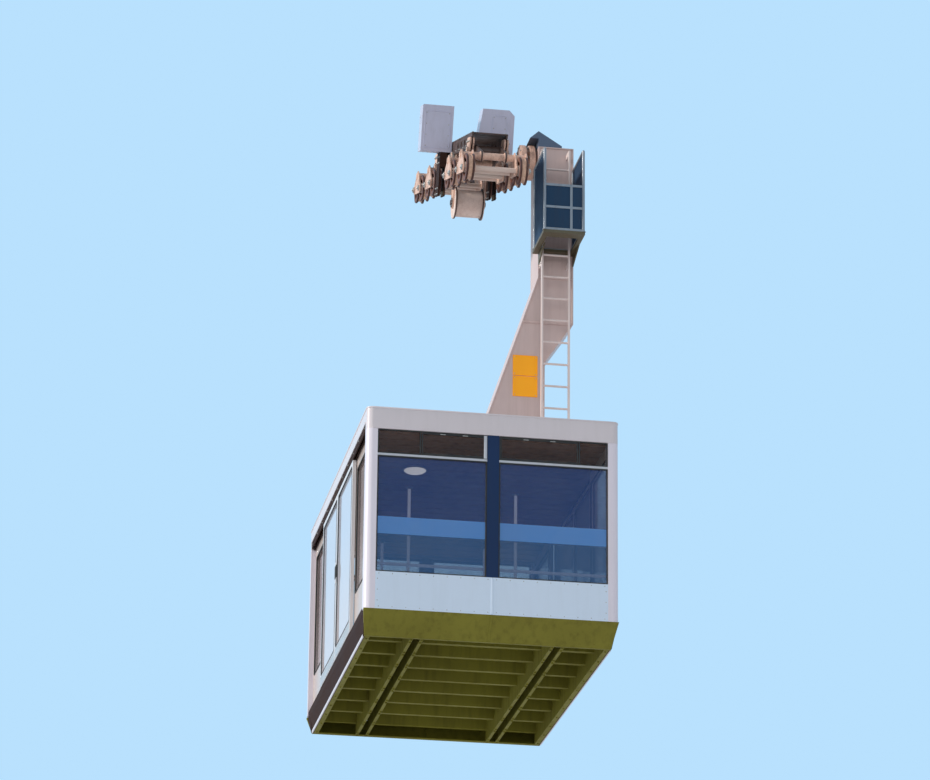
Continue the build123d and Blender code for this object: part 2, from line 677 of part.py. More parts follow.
panels = []
mullions = []
transoms = []
panes = []
skirts = []
vent_bottom = -TRANSOM_Z + TRANSOM_H / 2
main_top = -TRANSOM_Z - TRANSOM_H / 2
for sy in (-1, 1):
    face = sy * HALF_L
    half_mullion = MULLION_W / 2
    mullions.append(block(-half_mullion, half_mullion, face, face - sy * MULLION_T,
                          -WINDOW_BOTTOM, -WINDOW_TOP))
    glass_out = face - sy * GLASS_INSET
    glass_in = glass_out - sy * GLASS_T
    skirt_y = face - sy * SKIRT_INSET
    slope = [(face, -PANEL_BOTTOM), (skirt_y, -SKIRT_BOTTOM), (skirt_y - sy * SKIRT_T, -SKIRT_BOTTOM),
             (face - sy * SKIRT_TOP_T, -PANEL_BOTTOM)]
    for sx in (-1, 1):
        joint = sx * PANEL_JOINT / 2
        panels.append(block(joint, sx * PANE_X, face, face - sy * END_PANEL_T, -PANEL_BOTTOM, -WINDOW_BOTTOM))
        transoms.append(block(sx * half_mullion, sx * PANE_X, face - sy * TRANSOM_IN, face - sy * TRANSOM_T,
                              main_top, vent_bottom))
        panes.append(block(sx * half_mullion, sx * PANE_X, glass_out, glass_in, -WINDOW_BOTTOM, main_top))
        panes.append(block(sx * half_mullion, sx * PANE_X, glass_out, glass_in, vent_bottom, -WINDOW_TOP))
        skirt = profile_x(slope, min(joint, sx * HALF_W), max(joint, sx * HALF_W))
        trim = Polygon((sx * HALF_W, -PANEL_BOTTOM), (sx * VALANCE_OUT, -SKIRT_BOTTOM),
                       (sx * CABIN_W, -SKIRT_BOTTOM), (sx * CABIN_W, -PANEL_BOTTOM), align=None)
        skirts.append(skirt - profile_y(trim, -HALF_L, HALF_L))
save("end_panels", [in_cabin(p) for p in panels])
save("end_mullions", [in_cabin(p) for p in mullions])
save("end_transoms", [in_cabin(p) for p in transoms])
save("end_glass", [in_cabin(p) for p in panes])
save("end_skirts", [in_cabin(p) for p in skirts])


# Sides: a fixed glazed panel at each end of each side, with the doorway between them

walls = []
side_panes = []
wall_mid = WALL_IN + SIDE_WALL_T / 2
for sx in (-1, 1):
    for sy in (-1, 1):
        y0 = sy * (DOORWAY_L / 2 + SIDE_WIN_MARGIN)
        y1 = sy * (BAY - SIDE_WIN_MARGIN)
        wall = block(sx * WALL_IN, sx * WALL_OUT, sy * DOORWAY_L / 2, sy * BAY, -FLOOR_TOP, -CEILING_Z)
        wall -= block(sx * (WALL_IN - SIDE_WALL_T), sx * HALF_W, y0, y1, -SIDE_WIN_BOTTOM, -SIDE_WIN_TOP)
        walls.append(wall)
        side_panes.append(block(sx * (wall_mid - GLASS_T / 2), sx * (wall_mid + GLASS_T / 2), y0, y1,
                                -SIDE_WIN_BOTTOM, -SIDE_WIN_TOP))
save("side_walls", [in_cabin(w) for w in walls])
save("side_glass", [in_cabin(p) for p in side_panes])


# Door gear: a slotted track under the side fascia and a grooved sill below

def groove(sx, reach, z0, z1):
    """The straight slot that a pair of leaves runs in."""
    return block(sx * (DOOR_MID - TRACK_SLOT / 2), sx * (DOOR_MID + TRACK_SLOT / 2), -reach, reach, z0, z1)


def track(sx):
    reach = BAY - TRACK_GAP
    near = DOOR_IN - TRACK_T
    far = HALF_W - TRACK_FACE
    rail = block(sx * near, sx * far, -reach, reach, -TRACK_BOTTOM, -SIDE_FASCIA)
    rail -= block(sx * (near + TRACK_T), sx * (far - TRACK_T), -HALF_L, HALF_L,
                  -TRACK_BOTTOM + TRACK_T, -SIDE_FASCIA - TRACK_T)
    return rail - groove(sx, HALF_L, -TRACK_BOTTOM - TRACK_T, -TRACK_BOTTOM + 2 * TRACK_T)


def sill(sx):
    """A grooved sill with a valance below it that slopes in to the foot of the edge beam."""
    face = sx * (HALF_W - SILL_SET)
    rail = block(sx * WALL_OUT, face, -BAY, BAY, -SILL_BOTTOM, -SILL_TOP)
    rail -= groove(sx, HALF_L, -SILL_TOP - GUIDE_DEPTH - GUIDE_GAP, -SILL_TOP + GUIDE_GAP)
    valance = Polygon((sx * WALL_OUT, -SILL_BOTTOM), (face, -SILL_BOTTOM), (sx * VALANCE_OUT, -SKIRT_BOTTOM),
                      (sx * WALL_OUT, -SKIRT_BOTTOM), align=None)
    return rail + profile_y(valance, -BEAM_END, BEAM_END)


save("door_tracks", [in_cabin(track(sx)) for sx in (-1, 1)])
save("door_sills", [in_cabin(sill(sx)) for sx in (-1, 1)])


# Door leaves: each hangs on two rollers and has a tongue in the sill's groove

def leaf(sx, sy):
    """A leaf and its pane, from the doorway's middle towards the cabin's end."""
    y0 = DOOR_GAP
    y1 = DOOR_END
    hole = (sy * (y0 + DOOR_FRAME), sy * (y1 - DOOR_FRAME), -DOOR_BOTTOM + DOOR_KICK, -DOOR_TOP - DOOR_FRAME)
    body = block(sx * DOOR_IN, sx * (DOOR_IN + DOOR_T), sy * y0, sy * y1, -DOOR_BOTTOM, -DOOR_TOP)
    body -= block(sx * WALL_IN, sx * HALF_W, *hole)
    roller_z = -TRACK_BOTTOM + TRACK_T + ROLLER_D / 2 + RUN_FIT
    tab = (sx * (DOOR_MID - TAB_T / 2), sx * (DOOR_MID + TAB_T / 2))
    for y in (sy * (y0 + ROLLER_IN), sy * (y1 - ROLLER_IN)):
        body += block(*tab, y - TAB_L / 2, y + TAB_L / 2, -DOOR_TOP, roller_z)
        body += rod_x(sx * (DOOR_MID - ROLLER_W / 2), sx * (DOOR_MID + ROLLER_W / 2), y, roller_z, ROLLER_D)
    body += block(*tab, sy * (y0 + TONGUE_IN), sy * (y1 - TONGUE_IN), -SILL_TOP - GUIDE_DEPTH, -DOOR_BOTTOM)
    handle_y = y0 + HANDLE_IN
    body += block(sx * (DOOR_IN + DOOR_T), sx * (DOOR_IN + DOOR_T + HANDLE_T), sy * handle_y,
                  sy * (handle_y + HANDLE_W), -HANDLE_TOP - HANDLE_H, -HANDLE_TOP)
    pane = block(sx * (DOOR_MID - GLASS_T / 2), sx * (DOOR_MID + GLASS_T / 2), *hole)
    return body, pane


for side_name, sx in (("inner", -1), ("outer", 1)):
    for end_name, sy in (("lower", -1), ("upper", 1)):
        body, pane = leaf(sx, sy)
        save("door_" + side_name + "_" + end_name, [in_cabin(body)])
        save("door_glass_" + side_name + "_" + end_name, [in_cabin(pane)])


# Floor and underframe: a deck on two channel beams, cross-members and edge beams

floor_y = HALF_L - END_PANEL_T
floor = block(-WALL_OUT, WALL_OUT, -floor_y, floor_y, -UNDER, -FLOOR_TOP)
for sx in (-1, 1):
    for sy in (-1, 1):
        floor -= block(sx * PANE_X, sx * WALL_OUT, sy * BAY, sy * floor_y, -UNDER, -FLOOR_TOP)
save("floor_deck", [in_cabin(floor)])

edge_in = WALL_OUT - EDGE_BEAM_W
beam_in = LONG_BEAM_X - LONG_BEAM_W / 2
beam_out = LONG_BEAM_X + LONG_BEAM_W / 2
beams = []
for sx in (-1, 1):
    beams.append(block(sx * edge_in, sx * WALL_OUT, -BEAM_END, BEAM_END, -SKIRT_BOTTOM, -UNDER))
    beam = block(sx * beam_in, sx * beam_out, -BEAM_END, BEAM_END, -SKIRT_BOTTOM, -UNDER)
    beam -= block(sx * (beam_in + BEAM_WALL), sx * (beam_out - BEAM_WALL), -HALF_L, HALF_L,
                  -SKIRT_BOTTOM + BEAM_WALL, -UNDER - BEAM_WALL)
    beams.append(beam - block(sx * (beam_in + BEAM_LIP), sx * (beam_out - BEAM_LIP), -HALF_L, HALF_L,
                              -SKIRT_BOTTOM - BEAM_WALL, -UNDER - BEAM_WALL))
save("floor_beams", [in_cabin(b) for b in beams])

bays = ((-edge_in, -beam_out), (-beam_in, beam_in), (beam_out, edge_in))
count = int((BEAM_END - CROSS_W / 2) // CROSS_PITCH)
crosses = []
for k in range(-count, count + 1):
    y = k * CROSS_PITCH
    for x0, x1 in bays:
        crosses.append(block(x0, x1, y - CROSS_W / 2, y + CROSS_W / 2,
                             -UNDER - PAN_T - CROSS_H, -UNDER - PAN_T))
save("cross_members", [in_cabin(c) for c in crosses])
pans = []
rib_pitch = CROSS_PITCH / (PAN_RIBS + 1)
for x0, x1 in bays:
    pan = block(x0, x1, -BEAM_END, BEAM_END, -UNDER - PAN_T, -UNDER)
    for k in range(-count, count):
        for n in range(1, PAN_RIBS + 1):
            y = k * CROSS_PITCH + n * rib_pitch
            pan += block(x0 + PAN_RIB_W, x1 - PAN_RIB_W, y - PAN_RIB_W / 2, y + PAN_RIB_W / 2,
                         -UNDER - PAN_T - PAN_RIB_H, -UNDER - PAN_T)
    pans.append(pan)
save("floor_pans", [in_cabin(p) for p in pans])


# Inside: poles from floor to ceiling, and a waist board and foot rail across each end window

bars = []
boards = []
for sy in (-1, 1):
    y = sy * (BAY - BOARD_IN)
    bars.append(rod_x(-WALL_IN, WALL_IN, y, -FOOT_RAIL_Z, POLE_D))
    boards.append(block(-WALL_IN, WALL_IN, y - BOARD_T / 2, y + BOARD_T / 2,
                        -BOARD_TOP - BOARD_H, -BOARD_TOP))
for sx in (-1, 1):
    bars += [rod_z(sx * POLE_X, y, -FLOOR_TOP, -CEILING_Z, POLE_D) for y in POLES_Y]
save("grab_rails", [in_cabin(b) for b in bars])
save("waist_boards", [in_cabin(b) for b in boards])
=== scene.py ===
"""An aerial tramway car: a boxy white cabin under an offset hanger, and its carriage on the track ropes."""
import bmesh
import bpy
import json
import math
import numpy as np
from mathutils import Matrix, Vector

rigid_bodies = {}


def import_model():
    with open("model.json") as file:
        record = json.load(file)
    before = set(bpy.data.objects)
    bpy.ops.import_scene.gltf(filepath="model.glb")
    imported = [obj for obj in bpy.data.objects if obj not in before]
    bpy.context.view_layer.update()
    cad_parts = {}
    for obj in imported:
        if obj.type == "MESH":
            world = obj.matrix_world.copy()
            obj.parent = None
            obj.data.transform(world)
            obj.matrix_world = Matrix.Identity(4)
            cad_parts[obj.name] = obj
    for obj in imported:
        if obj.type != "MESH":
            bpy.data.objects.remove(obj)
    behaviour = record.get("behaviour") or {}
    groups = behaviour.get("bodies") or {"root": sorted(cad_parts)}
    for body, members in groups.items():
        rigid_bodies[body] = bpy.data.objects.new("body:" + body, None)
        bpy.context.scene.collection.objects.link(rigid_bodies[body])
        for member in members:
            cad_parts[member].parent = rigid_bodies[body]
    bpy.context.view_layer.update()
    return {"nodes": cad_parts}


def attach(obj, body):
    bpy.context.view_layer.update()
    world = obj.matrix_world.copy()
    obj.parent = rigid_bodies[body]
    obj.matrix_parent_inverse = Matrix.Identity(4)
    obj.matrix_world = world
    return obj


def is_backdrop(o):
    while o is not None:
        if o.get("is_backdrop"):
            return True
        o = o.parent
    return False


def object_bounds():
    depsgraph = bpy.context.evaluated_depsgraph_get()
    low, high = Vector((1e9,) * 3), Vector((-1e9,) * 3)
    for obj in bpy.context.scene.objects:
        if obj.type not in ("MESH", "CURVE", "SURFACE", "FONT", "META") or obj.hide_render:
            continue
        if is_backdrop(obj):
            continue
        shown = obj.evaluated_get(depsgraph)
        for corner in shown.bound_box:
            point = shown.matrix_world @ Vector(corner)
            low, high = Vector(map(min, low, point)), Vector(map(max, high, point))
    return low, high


for leftover in list(bpy.data.objects):
    bpy.data.objects.remove(leftover)

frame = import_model()
nodes = frame["nodes"]


# Roof and corner posts: a flat sheet in a welded aluminium edge, sprayed white, over posts whose lighter
# white is a painted highlight of sunlight
# The edge has a rolled trim along its top and foot, riveted on. The sheets meet in low lapped seams.

class Wire:
    """A shader socket whose sums and products add Math nodes."""

    def __init__(self, tree, socket):
        self.tree = tree
        self.socket = socket

    def math(self, operation, *values):
        node = self.tree.nodes.new("ShaderNodeMath")
        node.operation = operation
        for slot, value in zip(node.inputs, (self,) + values):
            if isinstance(value, Wire):
                self.tree.links.new(value.socket, slot)
            else:
                slot.default_value = value
        return Wire(self.tree, node.outputs[0])

    def __add__(self, other):
        return self.math("ADD", other)

    def __sub__(self, other):
        return self.math("SUBTRACT", other)

    def __mul__(self, other):
        return self.math("MULTIPLY", other)

    def __rsub__(self, other):
        return (self * -1.0).math("ADD", other)

    __radd__ = __add__
    __rmul__ = __mul__

    def over(self, threshold, width):
        """0 below the threshold and 1 above it, with a ramp of the given width."""
        return ((self - (threshold - width / 2)) * (1.0 / width)).math("MAXIMUM", 0.0).math("MINIMUM", 1.0)

    def wave(self, pitch):
        """Runs from 0 to 1 and back once in each pitch."""
        return self.math("MULTIPLY", 2 * math.pi / pitch).math("SINE") * 0.5 + 0.5


class Paint:
    """A material under construction, with one Principled shader; the slot name it is given is kept but not
    used.
    """

    def __init__(self, name, slot=None):
        self.slot = slot
        self.material = bpy.data.materials.new(name)
        self.material.use_nodes = True
        self.tree = self.material.node_tree
        self.shader = self.tree.nodes["Principled BSDF"]

    def put(self, socket, value):
        if isinstance(value, Wire):
            value = value.socket
        if hasattr(value, "is_output"):
            self.tree.links.new(value, socket)
        else:
            socket.default_value = value

    def node(self, kind, settings=None, **sockets):
        made = self.tree.nodes.new(kind)
        for key, value in (settings or {}).items():
            setattr(made, key, value)
        for key, value in sockets.items():
            self.put(made.inputs[key.replace("_", " ")], value)
        return made

    def set(self, **sockets):
        for key, value in sockets.items():
            self.put(self.shader.inputs[key.replace("_", " ")], value)
        return self

    def place(self, centre=(0, 0, 0), scale=(1, 1, 1)):
        """Object coordinates in metres, about a centre."""
        plain = self.node("ShaderNodeTexCoord").outputs["Object"]
        moved = self.node("ShaderNodeVectorMath", {"operation": "SUBTRACT"})
        self.put(moved.inputs[0], plain)
        self.put(moved.inputs[1], centre)
        return self.node("ShaderNodeMapping", Vector=moved.outputs[0], Scale=scale).outputs[0]

    def axis(self, index, centre=(0, 0, 0)):
        split = self.node("ShaderNodeSeparateXYZ", Vector=self.place(centre))
        return Wire(self.tree, split.outputs[index])

    def noise(self, scale, detail=4.0, roughness=0.55, stretch=(1, 1, 1)):
        made = self.node("ShaderNodeTexNoise", Vector=self.place(scale=stretch), Scale=scale, Detail=detail,
                         Roughness=roughness)
        return Wire(self.tree, made.outputs["Fac"])

    def mix(self, factor, first, second):
        made = self.node("ShaderNodeMix", {"data_type": "RGBA"})
        self.put(made.inputs["Factor"], factor)
        slots = [s for s in made.inputs if s.type == "RGBA"]
        for slot, colour in zip(slots, (first, second)):
            self.put(slot, colour if hasattr(colour, "is_output") else (*colour, 1.0))
        return [s for s in made.outputs if s.type == "RGBA"][0]

    def bump(self, height, strength, distance=0.001):
        made = self.node("ShaderNodeBump", Strength=strength, Distance=distance, Height=height)
        return self.set(Normal=made.outputs[0])


def coach_paint(name, colour, stain, amount, gloss=0.24, clear=0.35, shine=0.5, slot=None):
    """Sprayed paint: run-down streaks and cloudy grime stain it, and the sheet under it is slightly wavy."""
    paint = Paint(name, slot)
    streaks = paint.noise(3.0, 5.0, 0.6, (4.3, 4.3, 0.4)).over(0.62, 0.30)
    cloud = paint.noise(1.3, 3.0)
    specks = paint.noise(60.0, 2.0).over(0.72, 0.06)
    grime = streaks * amount + cloud.over(0.58, 0.35) * (amount * 0.6) + specks * (amount * 0.5)
    paint.set(Base_Color=paint.mix(grime, colour, stain))
    paint.set(Roughness=gloss + cloud * 0.14 + grime * 0.3, Coat_Weight=clear, Coat_Roughness=0.08)
    paint.set(Specular_IOR_Level=shine)
    return paint.bump(paint.noise(2.2, 2.0) + specks * 0.02, 0.25, 0.004)


def dress(paint, *names):
    """Gives a finish to nodes of the frame."""
    for name in names:
        if not nodes[name].material_slots:
            nodes[name].data.materials.append(paint.material)
        for slot in nodes[name].material_slots:
            slot.material = paint.material


def shell(rings, loop=False):
    """Quads between neighbouring rings (n, m, 3), whose ends close to their middles unless they loop."""
    if not loop:
        ends = rings[[0, -1]].mean(axis=1, keepdims=True).repeat(rings.shape[1], axis=1)
        rings = np.concatenate((ends[:1], rings, ends[1:]))
    n, m = rings.shape[:2]
    i, j = np.meshgrid(np.arange(n if loop else n - 1), np.arange(m), indexing="ij")
    i2, j2 = (i + 1) % n, (j + 1) % m
    quads = np.stack((i * m + j, i2 * m + j, i2 * m + j2, i * m + j2), axis=-1)
    return rings.reshape(-1, 3), quads.reshape(-1, 4)


def points_of(path):
    """Points (n, 3) from rows of x, y and z, where one number stands for a whole row."""
    return np.stack(np.broadcast_arrays(*path), axis=-1).astype(float)


def carried(section, path, side, up, loop=False, swell=1.0):
    """A closed section (m, 2) carried along a path's rows: point + swell * (a * side + b * up)."""
    path = points_of(path)
    side = np.broadcast_to(side, path.shape)[:, None]
    up = np.broadcast_to(up, path.shape)[:, None]
    swell = np.broadcast_to(swell, len(path))[:, None, None]
    return shell(path[:, None] + swell * (section[None, :, :1] * side + section[None, :, 1:] * up), loop)


def corner_ways(steps=3):
    """Unit directions round a circle, (cos t, sin t), a quarter at a time with both ends of each quarter."""
    turn = np.linspace(0, math.pi / 2, steps + 1) + np.arange(4)[:, None] * math.pi / 2
    return np.stack((np.cos(turn), np.sin(turn)), axis=-1)


def rounded(width, height, radius, steps=3):
    """Outline of a rectangle with quarter-circle corners: each corner's centre + radius * direction."""
    corner = np.array(((1, 1), (-1, 1), (-1, -1), (1, -1))) * (width / 2 - radius, height / 2 - radius)
    return (corner[:, None] + radius * corner_ways(steps)).reshape(-1, 2)


def frame_strip(section, middle, size, radius, across, rise, out):
    """A strip carried round a rounded rectangle of a given size that faces out."""
    outline, away = rounded(*size, radius), corner_ways().reshape(-1, 2)
    path = np.asarray(middle) + outline[:, :1] * across + outline[:, 1:] * rise
    return carried(section, path.T, away[:, :1] * across + away[:, 1:] * rise, out, loop=True)


def basis(axis):
    """An axis of length 1, and two directions square to it and to each other."""
    axis = np.asarray(axis, float) / np.linalg.norm(axis)
    first = np.cross(axis, (0.0, 0.0, 1.0) if abs(axis[2]) < 0.9 else (1.0, 0.0, 0.0))
    first /= np.linalg.norm(first)
    return axis, first, np.cross(axis, first)


def turned(profile, centre, axis, count=32, flats=1.0, hollow=False):
    """A profile (distance a along an axis, radius r) turned round it: centre + a * axis + r * direction(t).

    It closes to the axis at both ends, or runs round on itself as a hollow ring.
    """
    axis, first, second = basis(axis)
    t = np.arange(count)[:, None] * 2 * math.pi / count
    spoke = np.broadcast_to(flats, count)[:, None] * (np.cos(t) * first + np.sin(t) * second)
    profile = np.asarray(profile, float)[:, None]
    return shell(np.asarray(centre) + profile[..., :1] * axis + profile[..., 1:] * spoke, hollow)


def rivet(size, axis):
    """A domed head: a quarter circle turned round its axis."""
    rise = np.linspace(0, math.pi / 2, 4)[:-1]
    dome = np.stack((np.sin(rise) * size * 0.3, np.cos(rise) * size / 2), axis=-1)
    return turned(dome, (0, 0, 0), axis, 10)


HEXAGON = np.where(np.arange(12) % 2, 1.0, 1.155)


def bolt(size, axis):
    """A hexagon head, size across its flats, on a round washer: corners and flats alternate round it."""
    washer = turned([(0, 0.68 * size), (0.11 * size, 0.68 * size)], (0, 0, 0), axis, 16)
    head = [(0.11 * size, 0.5 * size), (0.58 * size, 0.5 * size), (0.66 * size, 0.43 * size)]
    return joined([washer, turned(head, (0, 0, 0), axis, 12, HEXAGON)])


def joined(forms):
    """Several forms as one: their points and their quads, renumbered."""
    starts = np.cumsum([0] + [len(points) for points, _ in forms])
    return (np.concatenate([points for points, _ in forms]),
            np.concatenate([quads + start for (_, quads), start in zip(forms, starts)]))


def copies(form, places):
    """The same form at each of several places."""
    points, quads = form
    moved = (places[:, None] + points).reshape(-1, 3)
    return moved, (quads + len(points) * np.arange(len(places))[:, None, None]).reshape(-1, 4)


def spread(form, xs, ys, zs):
    """The same form at every combination of the given coordinates."""
    return copies(form, np.stack(np.meshgrid(xs, ys, zs, indexing="ij"), axis=-1).reshape(-1, 3))


def even(low, high, pitch):
    """Coordinates from low to high, both included, about a pitch apart."""
    return np.linspace(low, high, max(2, round((high - low) / pitch) + 1))


BOTH = (-1, 1)
QUARTERS = [(a, b) for a in BOTH for b in BOTH]
CABIN_AT = (-0.110, -0.13906, -3.870)
CREASE = math.radians(38)


def on_cabin(points):
    """From the middle of the roof's top to where the cabin hangs."""
    return points + CABIN_AT


def linked(name, data):
    """A new object in the scene."""
    made = bpy.data.objects.new(name, data)
    bpy.context.scene.collection.objects.link(made)
    return made


def piece(name, forms, paint, body="cabin", place=on_cabin):
    """One object of closed forms: points placed, doubles merged and faces turned outwards."""
    points, quads = joined(forms)
    mesh = bpy.data.meshes.new(name)
    mesh.from_pydata(place(points).tolist(), [], quads.tolist())
    work = bmesh.new()
    work.from_mesh(mesh)
    bmesh.ops.remove_doubles(work, verts=work.verts, dist=1e-6)
    bmesh.ops.recalc_face_normals(work, faces=work.faces)
    work.to_mesh(mesh)
    work.free()
    mesh.shade_smooth()
    mesh.set_sharp_from_angle(angle=CREASE)
    mesh.materials.append(paint.material)
    made = linked(name, mesh)
    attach(made, body)


white = coach_paint("white_coach_paint", (0.74, 0.68, 0.71), (0.42, 0.38, 0.36), 0.10, slot="white_panel")
dress(white, "roof_fascia", "roof_panel")
# The corner posts' lighter white is painted light: it stands in for sunlight on their rounded faces.
dress(coach_paint("corner_post_paint_with_painted_sunlight", (0.84, 0.79, 0.88), (0.44, 0.41, 0.40), 0.08), "corner_posts")

X, Y, Z = np.eye(3)
HALF_W = 1.500
HALF_L = 2.520
PROUD = 0.001
CORNER_R = 0.070
TRIM_R = 0.007
FASCIA_FOOT = -0.270
SIDE_TRIM_Y = (-2.386, 2.386)
SIDE_TRIM_Z = -0.172
SEAM_X = (-1.46, 1.46)
trim_section = rounded(2 * TRIM_R, 3 * TRIM_R, TRIM_R * 0.9, 2)
foot_x = (CORNER_R - HALF_W, HALF_W - CORNER_R)
roof_trim = [frame_strip(trim_section, (0, 0, -0.010), (2 * HALF_W, 2 * HALF_L), CORNER_R, X, Y, Z)]
for end in BOTH:
    roof_trim.append(carried(trim_section, (foot_x, end * (HALF_L + PROUD), FASCIA_FOOT + 0.010), Y, Z))
    roof_trim.append(carried(trim_section, (end * (HALF_W + PROUD), SIDE_TRIM_Y, SIDE_TRIM_Z), X, Z))
piece("roof_edge_trim", roof_trim, white)

TOP_ROW = -0.034
SEAM_Y = 1.240
seam_rows = [side * SEAM_Y + way * 0.015 for side, way in QUARTERS]
roof_rivets = []
for end in BOTH:
    end_rows, side_rows = (TOP_ROW, FASCIA_FOOT + 0.030), (TOP_ROW, -0.150)
    roof_rivets.append(spread(rivet(0.012, end * Y), even(-1.40, 1.40, 0.14), end * HALF_L, end_rows))
    roof_rivets.append(spread(rivet(0.012, end * X), end * HALF_W, even(-2.32, 2.32, 0.145), side_rows))
roof_rivets.append(spread(rivet(0.014, Z), even(-1.42, 1.42, 0.12), seam_rows, 0.004))
piece("roof_rivets", roof_rivets, white)
seam = rounded(0.060, 0.008, 0.003)
seams = [carried(seam, (SEAM_X, side * SEAM_Y, PROUD), Y, Z) for side in BOTH]
piece("roof_seams", seams, white)


# Roof hatch: a pressed lid on a raised frame, with two hinges and a lever at its free edge
# Staff climb out through it. The lid's edge has a rubber seal under it.

rubber = Paint("black_rubber", "dark_strip")
dust = rubber.noise(9.0, 4.0).over(0.55, 0.3)
rubber.set(Base_Color=rubber.mix(dust * 0.35, (0.018, 0.017, 0.017), (0.10, 0.09, 0.08)))
rubber.set(Roughness=0.62 + dust * 0.2)
rubber.bump(rubber.noise(220.0, 2.0), 0.2, 0.0006)


def clouded(name, slot, scale, bright, dull, roughness, haze, metallic=0.0):
    """A bare surface: one cloudy noise dulls its colour, and haze * noise is added to its roughness."""
    paint = Paint(name, slot)
    cloud = paint.noise(scale, 4.0)
    paint.set(Base_Color=paint.mix(cloud.over(0.5, 0.4), bright, dull), Metallic=metallic)
    return paint.set(Roughness=roughness + cloud * haze)


zinc = clouded("zinc_plated_steel", "bare_steel", 35.0, (0.56, 0.55, 0.52), (0.33, 0.29, 0.25), 0.32, 0.3,
               metallic=0.85)
zinc.bump(zinc.noise(300.0, 2.0), 0.15, 0.0004)

HATCH_X = -0.800
HATCH_HALF = 0.375
SEAL_SIZE = (0.716, 0.716)
LID_TOP = 0.046
hatch_seal = frame_strip(rounded(0.012, 0.012, 0.005), (HATCH_X, 0, 0.020), SEAL_SIZE, 0.02, X, Y, Z)
piece("hatch_seal", [hatch_seal], rubber)
rib = carried(rounded(0.050, 0.008, 0.0035), (HATCH_X, (-0.30, 0.30), LID_TOP), X, Z)
piece("hatch_ribs", [spread(rib, (-0.18, 0.0, 0.18), 0, 0)], white)
hinge = turned([(-0.06, 0.011), (0.06, 0.011)], (0, 0, 0), Y, 16)
hatch_hardware = [spread(hinge, HATCH_X - HATCH_HALF - 0.012, (-0.22, 0.22), 0.034)]
lever = (HATCH_X + HATCH_HALF + 0.016, (-0.07, -0.07, -0.05, 0.05, 0.07, 0.07),
         (0.012, 0.052, 0.062, 0.062, 0.052, 0.012))
hatch_hardware.append(carried(rounded(0.016, 0.016, 0.0079, 4), lever, X, (0, 0.6, 0.8)))
piece("hatch_hardware", hatch_hardware, zinc)


# End windows: tinted panes in black rubber, a navy centre mullion and a light transom bar
# Above the bar each half has a hinged vent in a thin frame, and a fixed pane beside it. The lower panels are
# white sheet with a pale blue tint of painted sky reflection; they meet under a joint strip, and screws with
# domed heads hold them.

def tinted(name, tint, alpha, zones, metallic=0.0):
    """Tinted glass under a film of dust: each zone's tint and alpha hold above its height, past a ramp."""
    paint = Paint(name)
    film = paint.noise(2.4, 4.0, 0.6, (1, 1, 0.6)).over(0.52, 0.4)
    height = paint.axis(2)
    clean = tint
    veil = film * 0.04 + alpha
    for level, ramp, zone_tint, zone_alpha in zones:
        above = height.over(level, ramp)
        clean = paint.mix(above, clean, zone_tint)
        veil = veil + above * (zone_alpha - alpha)
        alpha = zone_alpha
    paint.set(Base_Color=paint.mix(film * 0.12, clean, (0.30, 0.30, 0.30)), Alpha=veil, Metallic=metallic)
    paint.set(Roughness=0.03 + film * 0.05, Coat_Weight=0.25, Coat_Roughness=0.01)
    return paint.bump(paint.noise(0.9, 0.0), 0.05, 0.002)


MAIN_TINT = (0.028, 0.090, 0.345)
FILM_TINT = (0.100, 0.290, 0.700)
FOOT_TINT = (0.026, 0.112, 0.310)
VENT_TINT = (0.050, 0.030, 0.030)
end_zones = [(-5.415, 0.006, FILM_TINT, 0.80), (-5.205, 0.006, MAIN_TINT, 0.30),
             (-4.450, 0.010, VENT_TINT, 0.12)]
dress(tinted("front_glass", FOOT_TINT, 0.54, end_zones), "end_glass")
# The lower panels' pale blue is partly painted reflection of the sky on white sheet.
panel_white_with_sky_reflection = coach_paint("lower_panel_paint_with_painted_sky", (0.71, 0.84, 1.0), (0.44, 0.50, 0.57), 0.09,
                          slot="white_panel")
dress(panel_white_with_sky_reflection, "end_panels")
navy = coach_paint("navy_paint", (0.004, 0.026, 0.092), (0.03, 0.04, 0.06), 0.15, 0.45, 0.0, 0.25,
                   "window_frame")
dress(navy, "end_mullions")
trim = coach_paint("grey_trim", (0.56, 0.59, 0.65), (0.3, 0.3, 0.3), 0.2, slot="grey_trim")
dress(trim, "end_transoms")

PANE_X = (0.070, 1.370)
MAIN_Z = (-2.010, -0.593)
VENT_Z = (-0.567, -0.270)
GLASS_Y = 2.498
FACE_Y = GLASS_Y + 0.004
VENT_SPLIT = {-1: -0.865, 1: 1.030}
gasket = rounded(0.020, 0.018, 0.006)
bar_section = rounded(0.018, 0.014, 0.004)
knuckle = turned([(-0.030, 0.006), (0.030, 0.006)], (0, 0, 0), X, 12)
gaskets = []
vent_frames = []
vent_hinges = []
for end, side in QUARTERS:
    x0, x1 = sorted(side * x for x in PANE_X)
    for z0, z1 in (MAIN_Z, VENT_Z):
        middle = ((x0 + x1) / 2, end * FACE_Y, (z0 + z1) / 2)
        size = (x1 - x0 - 0.014, z1 - z0 - 0.014)
        gaskets.append(frame_strip(gasket, middle, size, 0.016, X, Z, end * Y))
    split = VENT_SPLIT[side] * -end
    low, high = (x0, split) if abs(x0) < abs(x1) else (split, x1)
    middle, size = ((low + high) / 2, *middle[1:]), (abs(high - low) - 0.048, z1 - z0 - 0.048)
    vent_frames.append(frame_strip(bar_section, middle, size, 0.012, X, Z, end * Y))
    gaskets.append(carried(gasket, (split, end * FACE_Y, (z0 + 0.006, z1 - 0.006)), X, end * Y))
    hinge_x = np.linspace(low, high, 4)[1:3]
    vent_hinges.append(spread(knuckle, hinge_x, end * (GLASS_Y + 0.014), z1 - 0.026))
piece("end_window_rubber", gaskets, rubber)
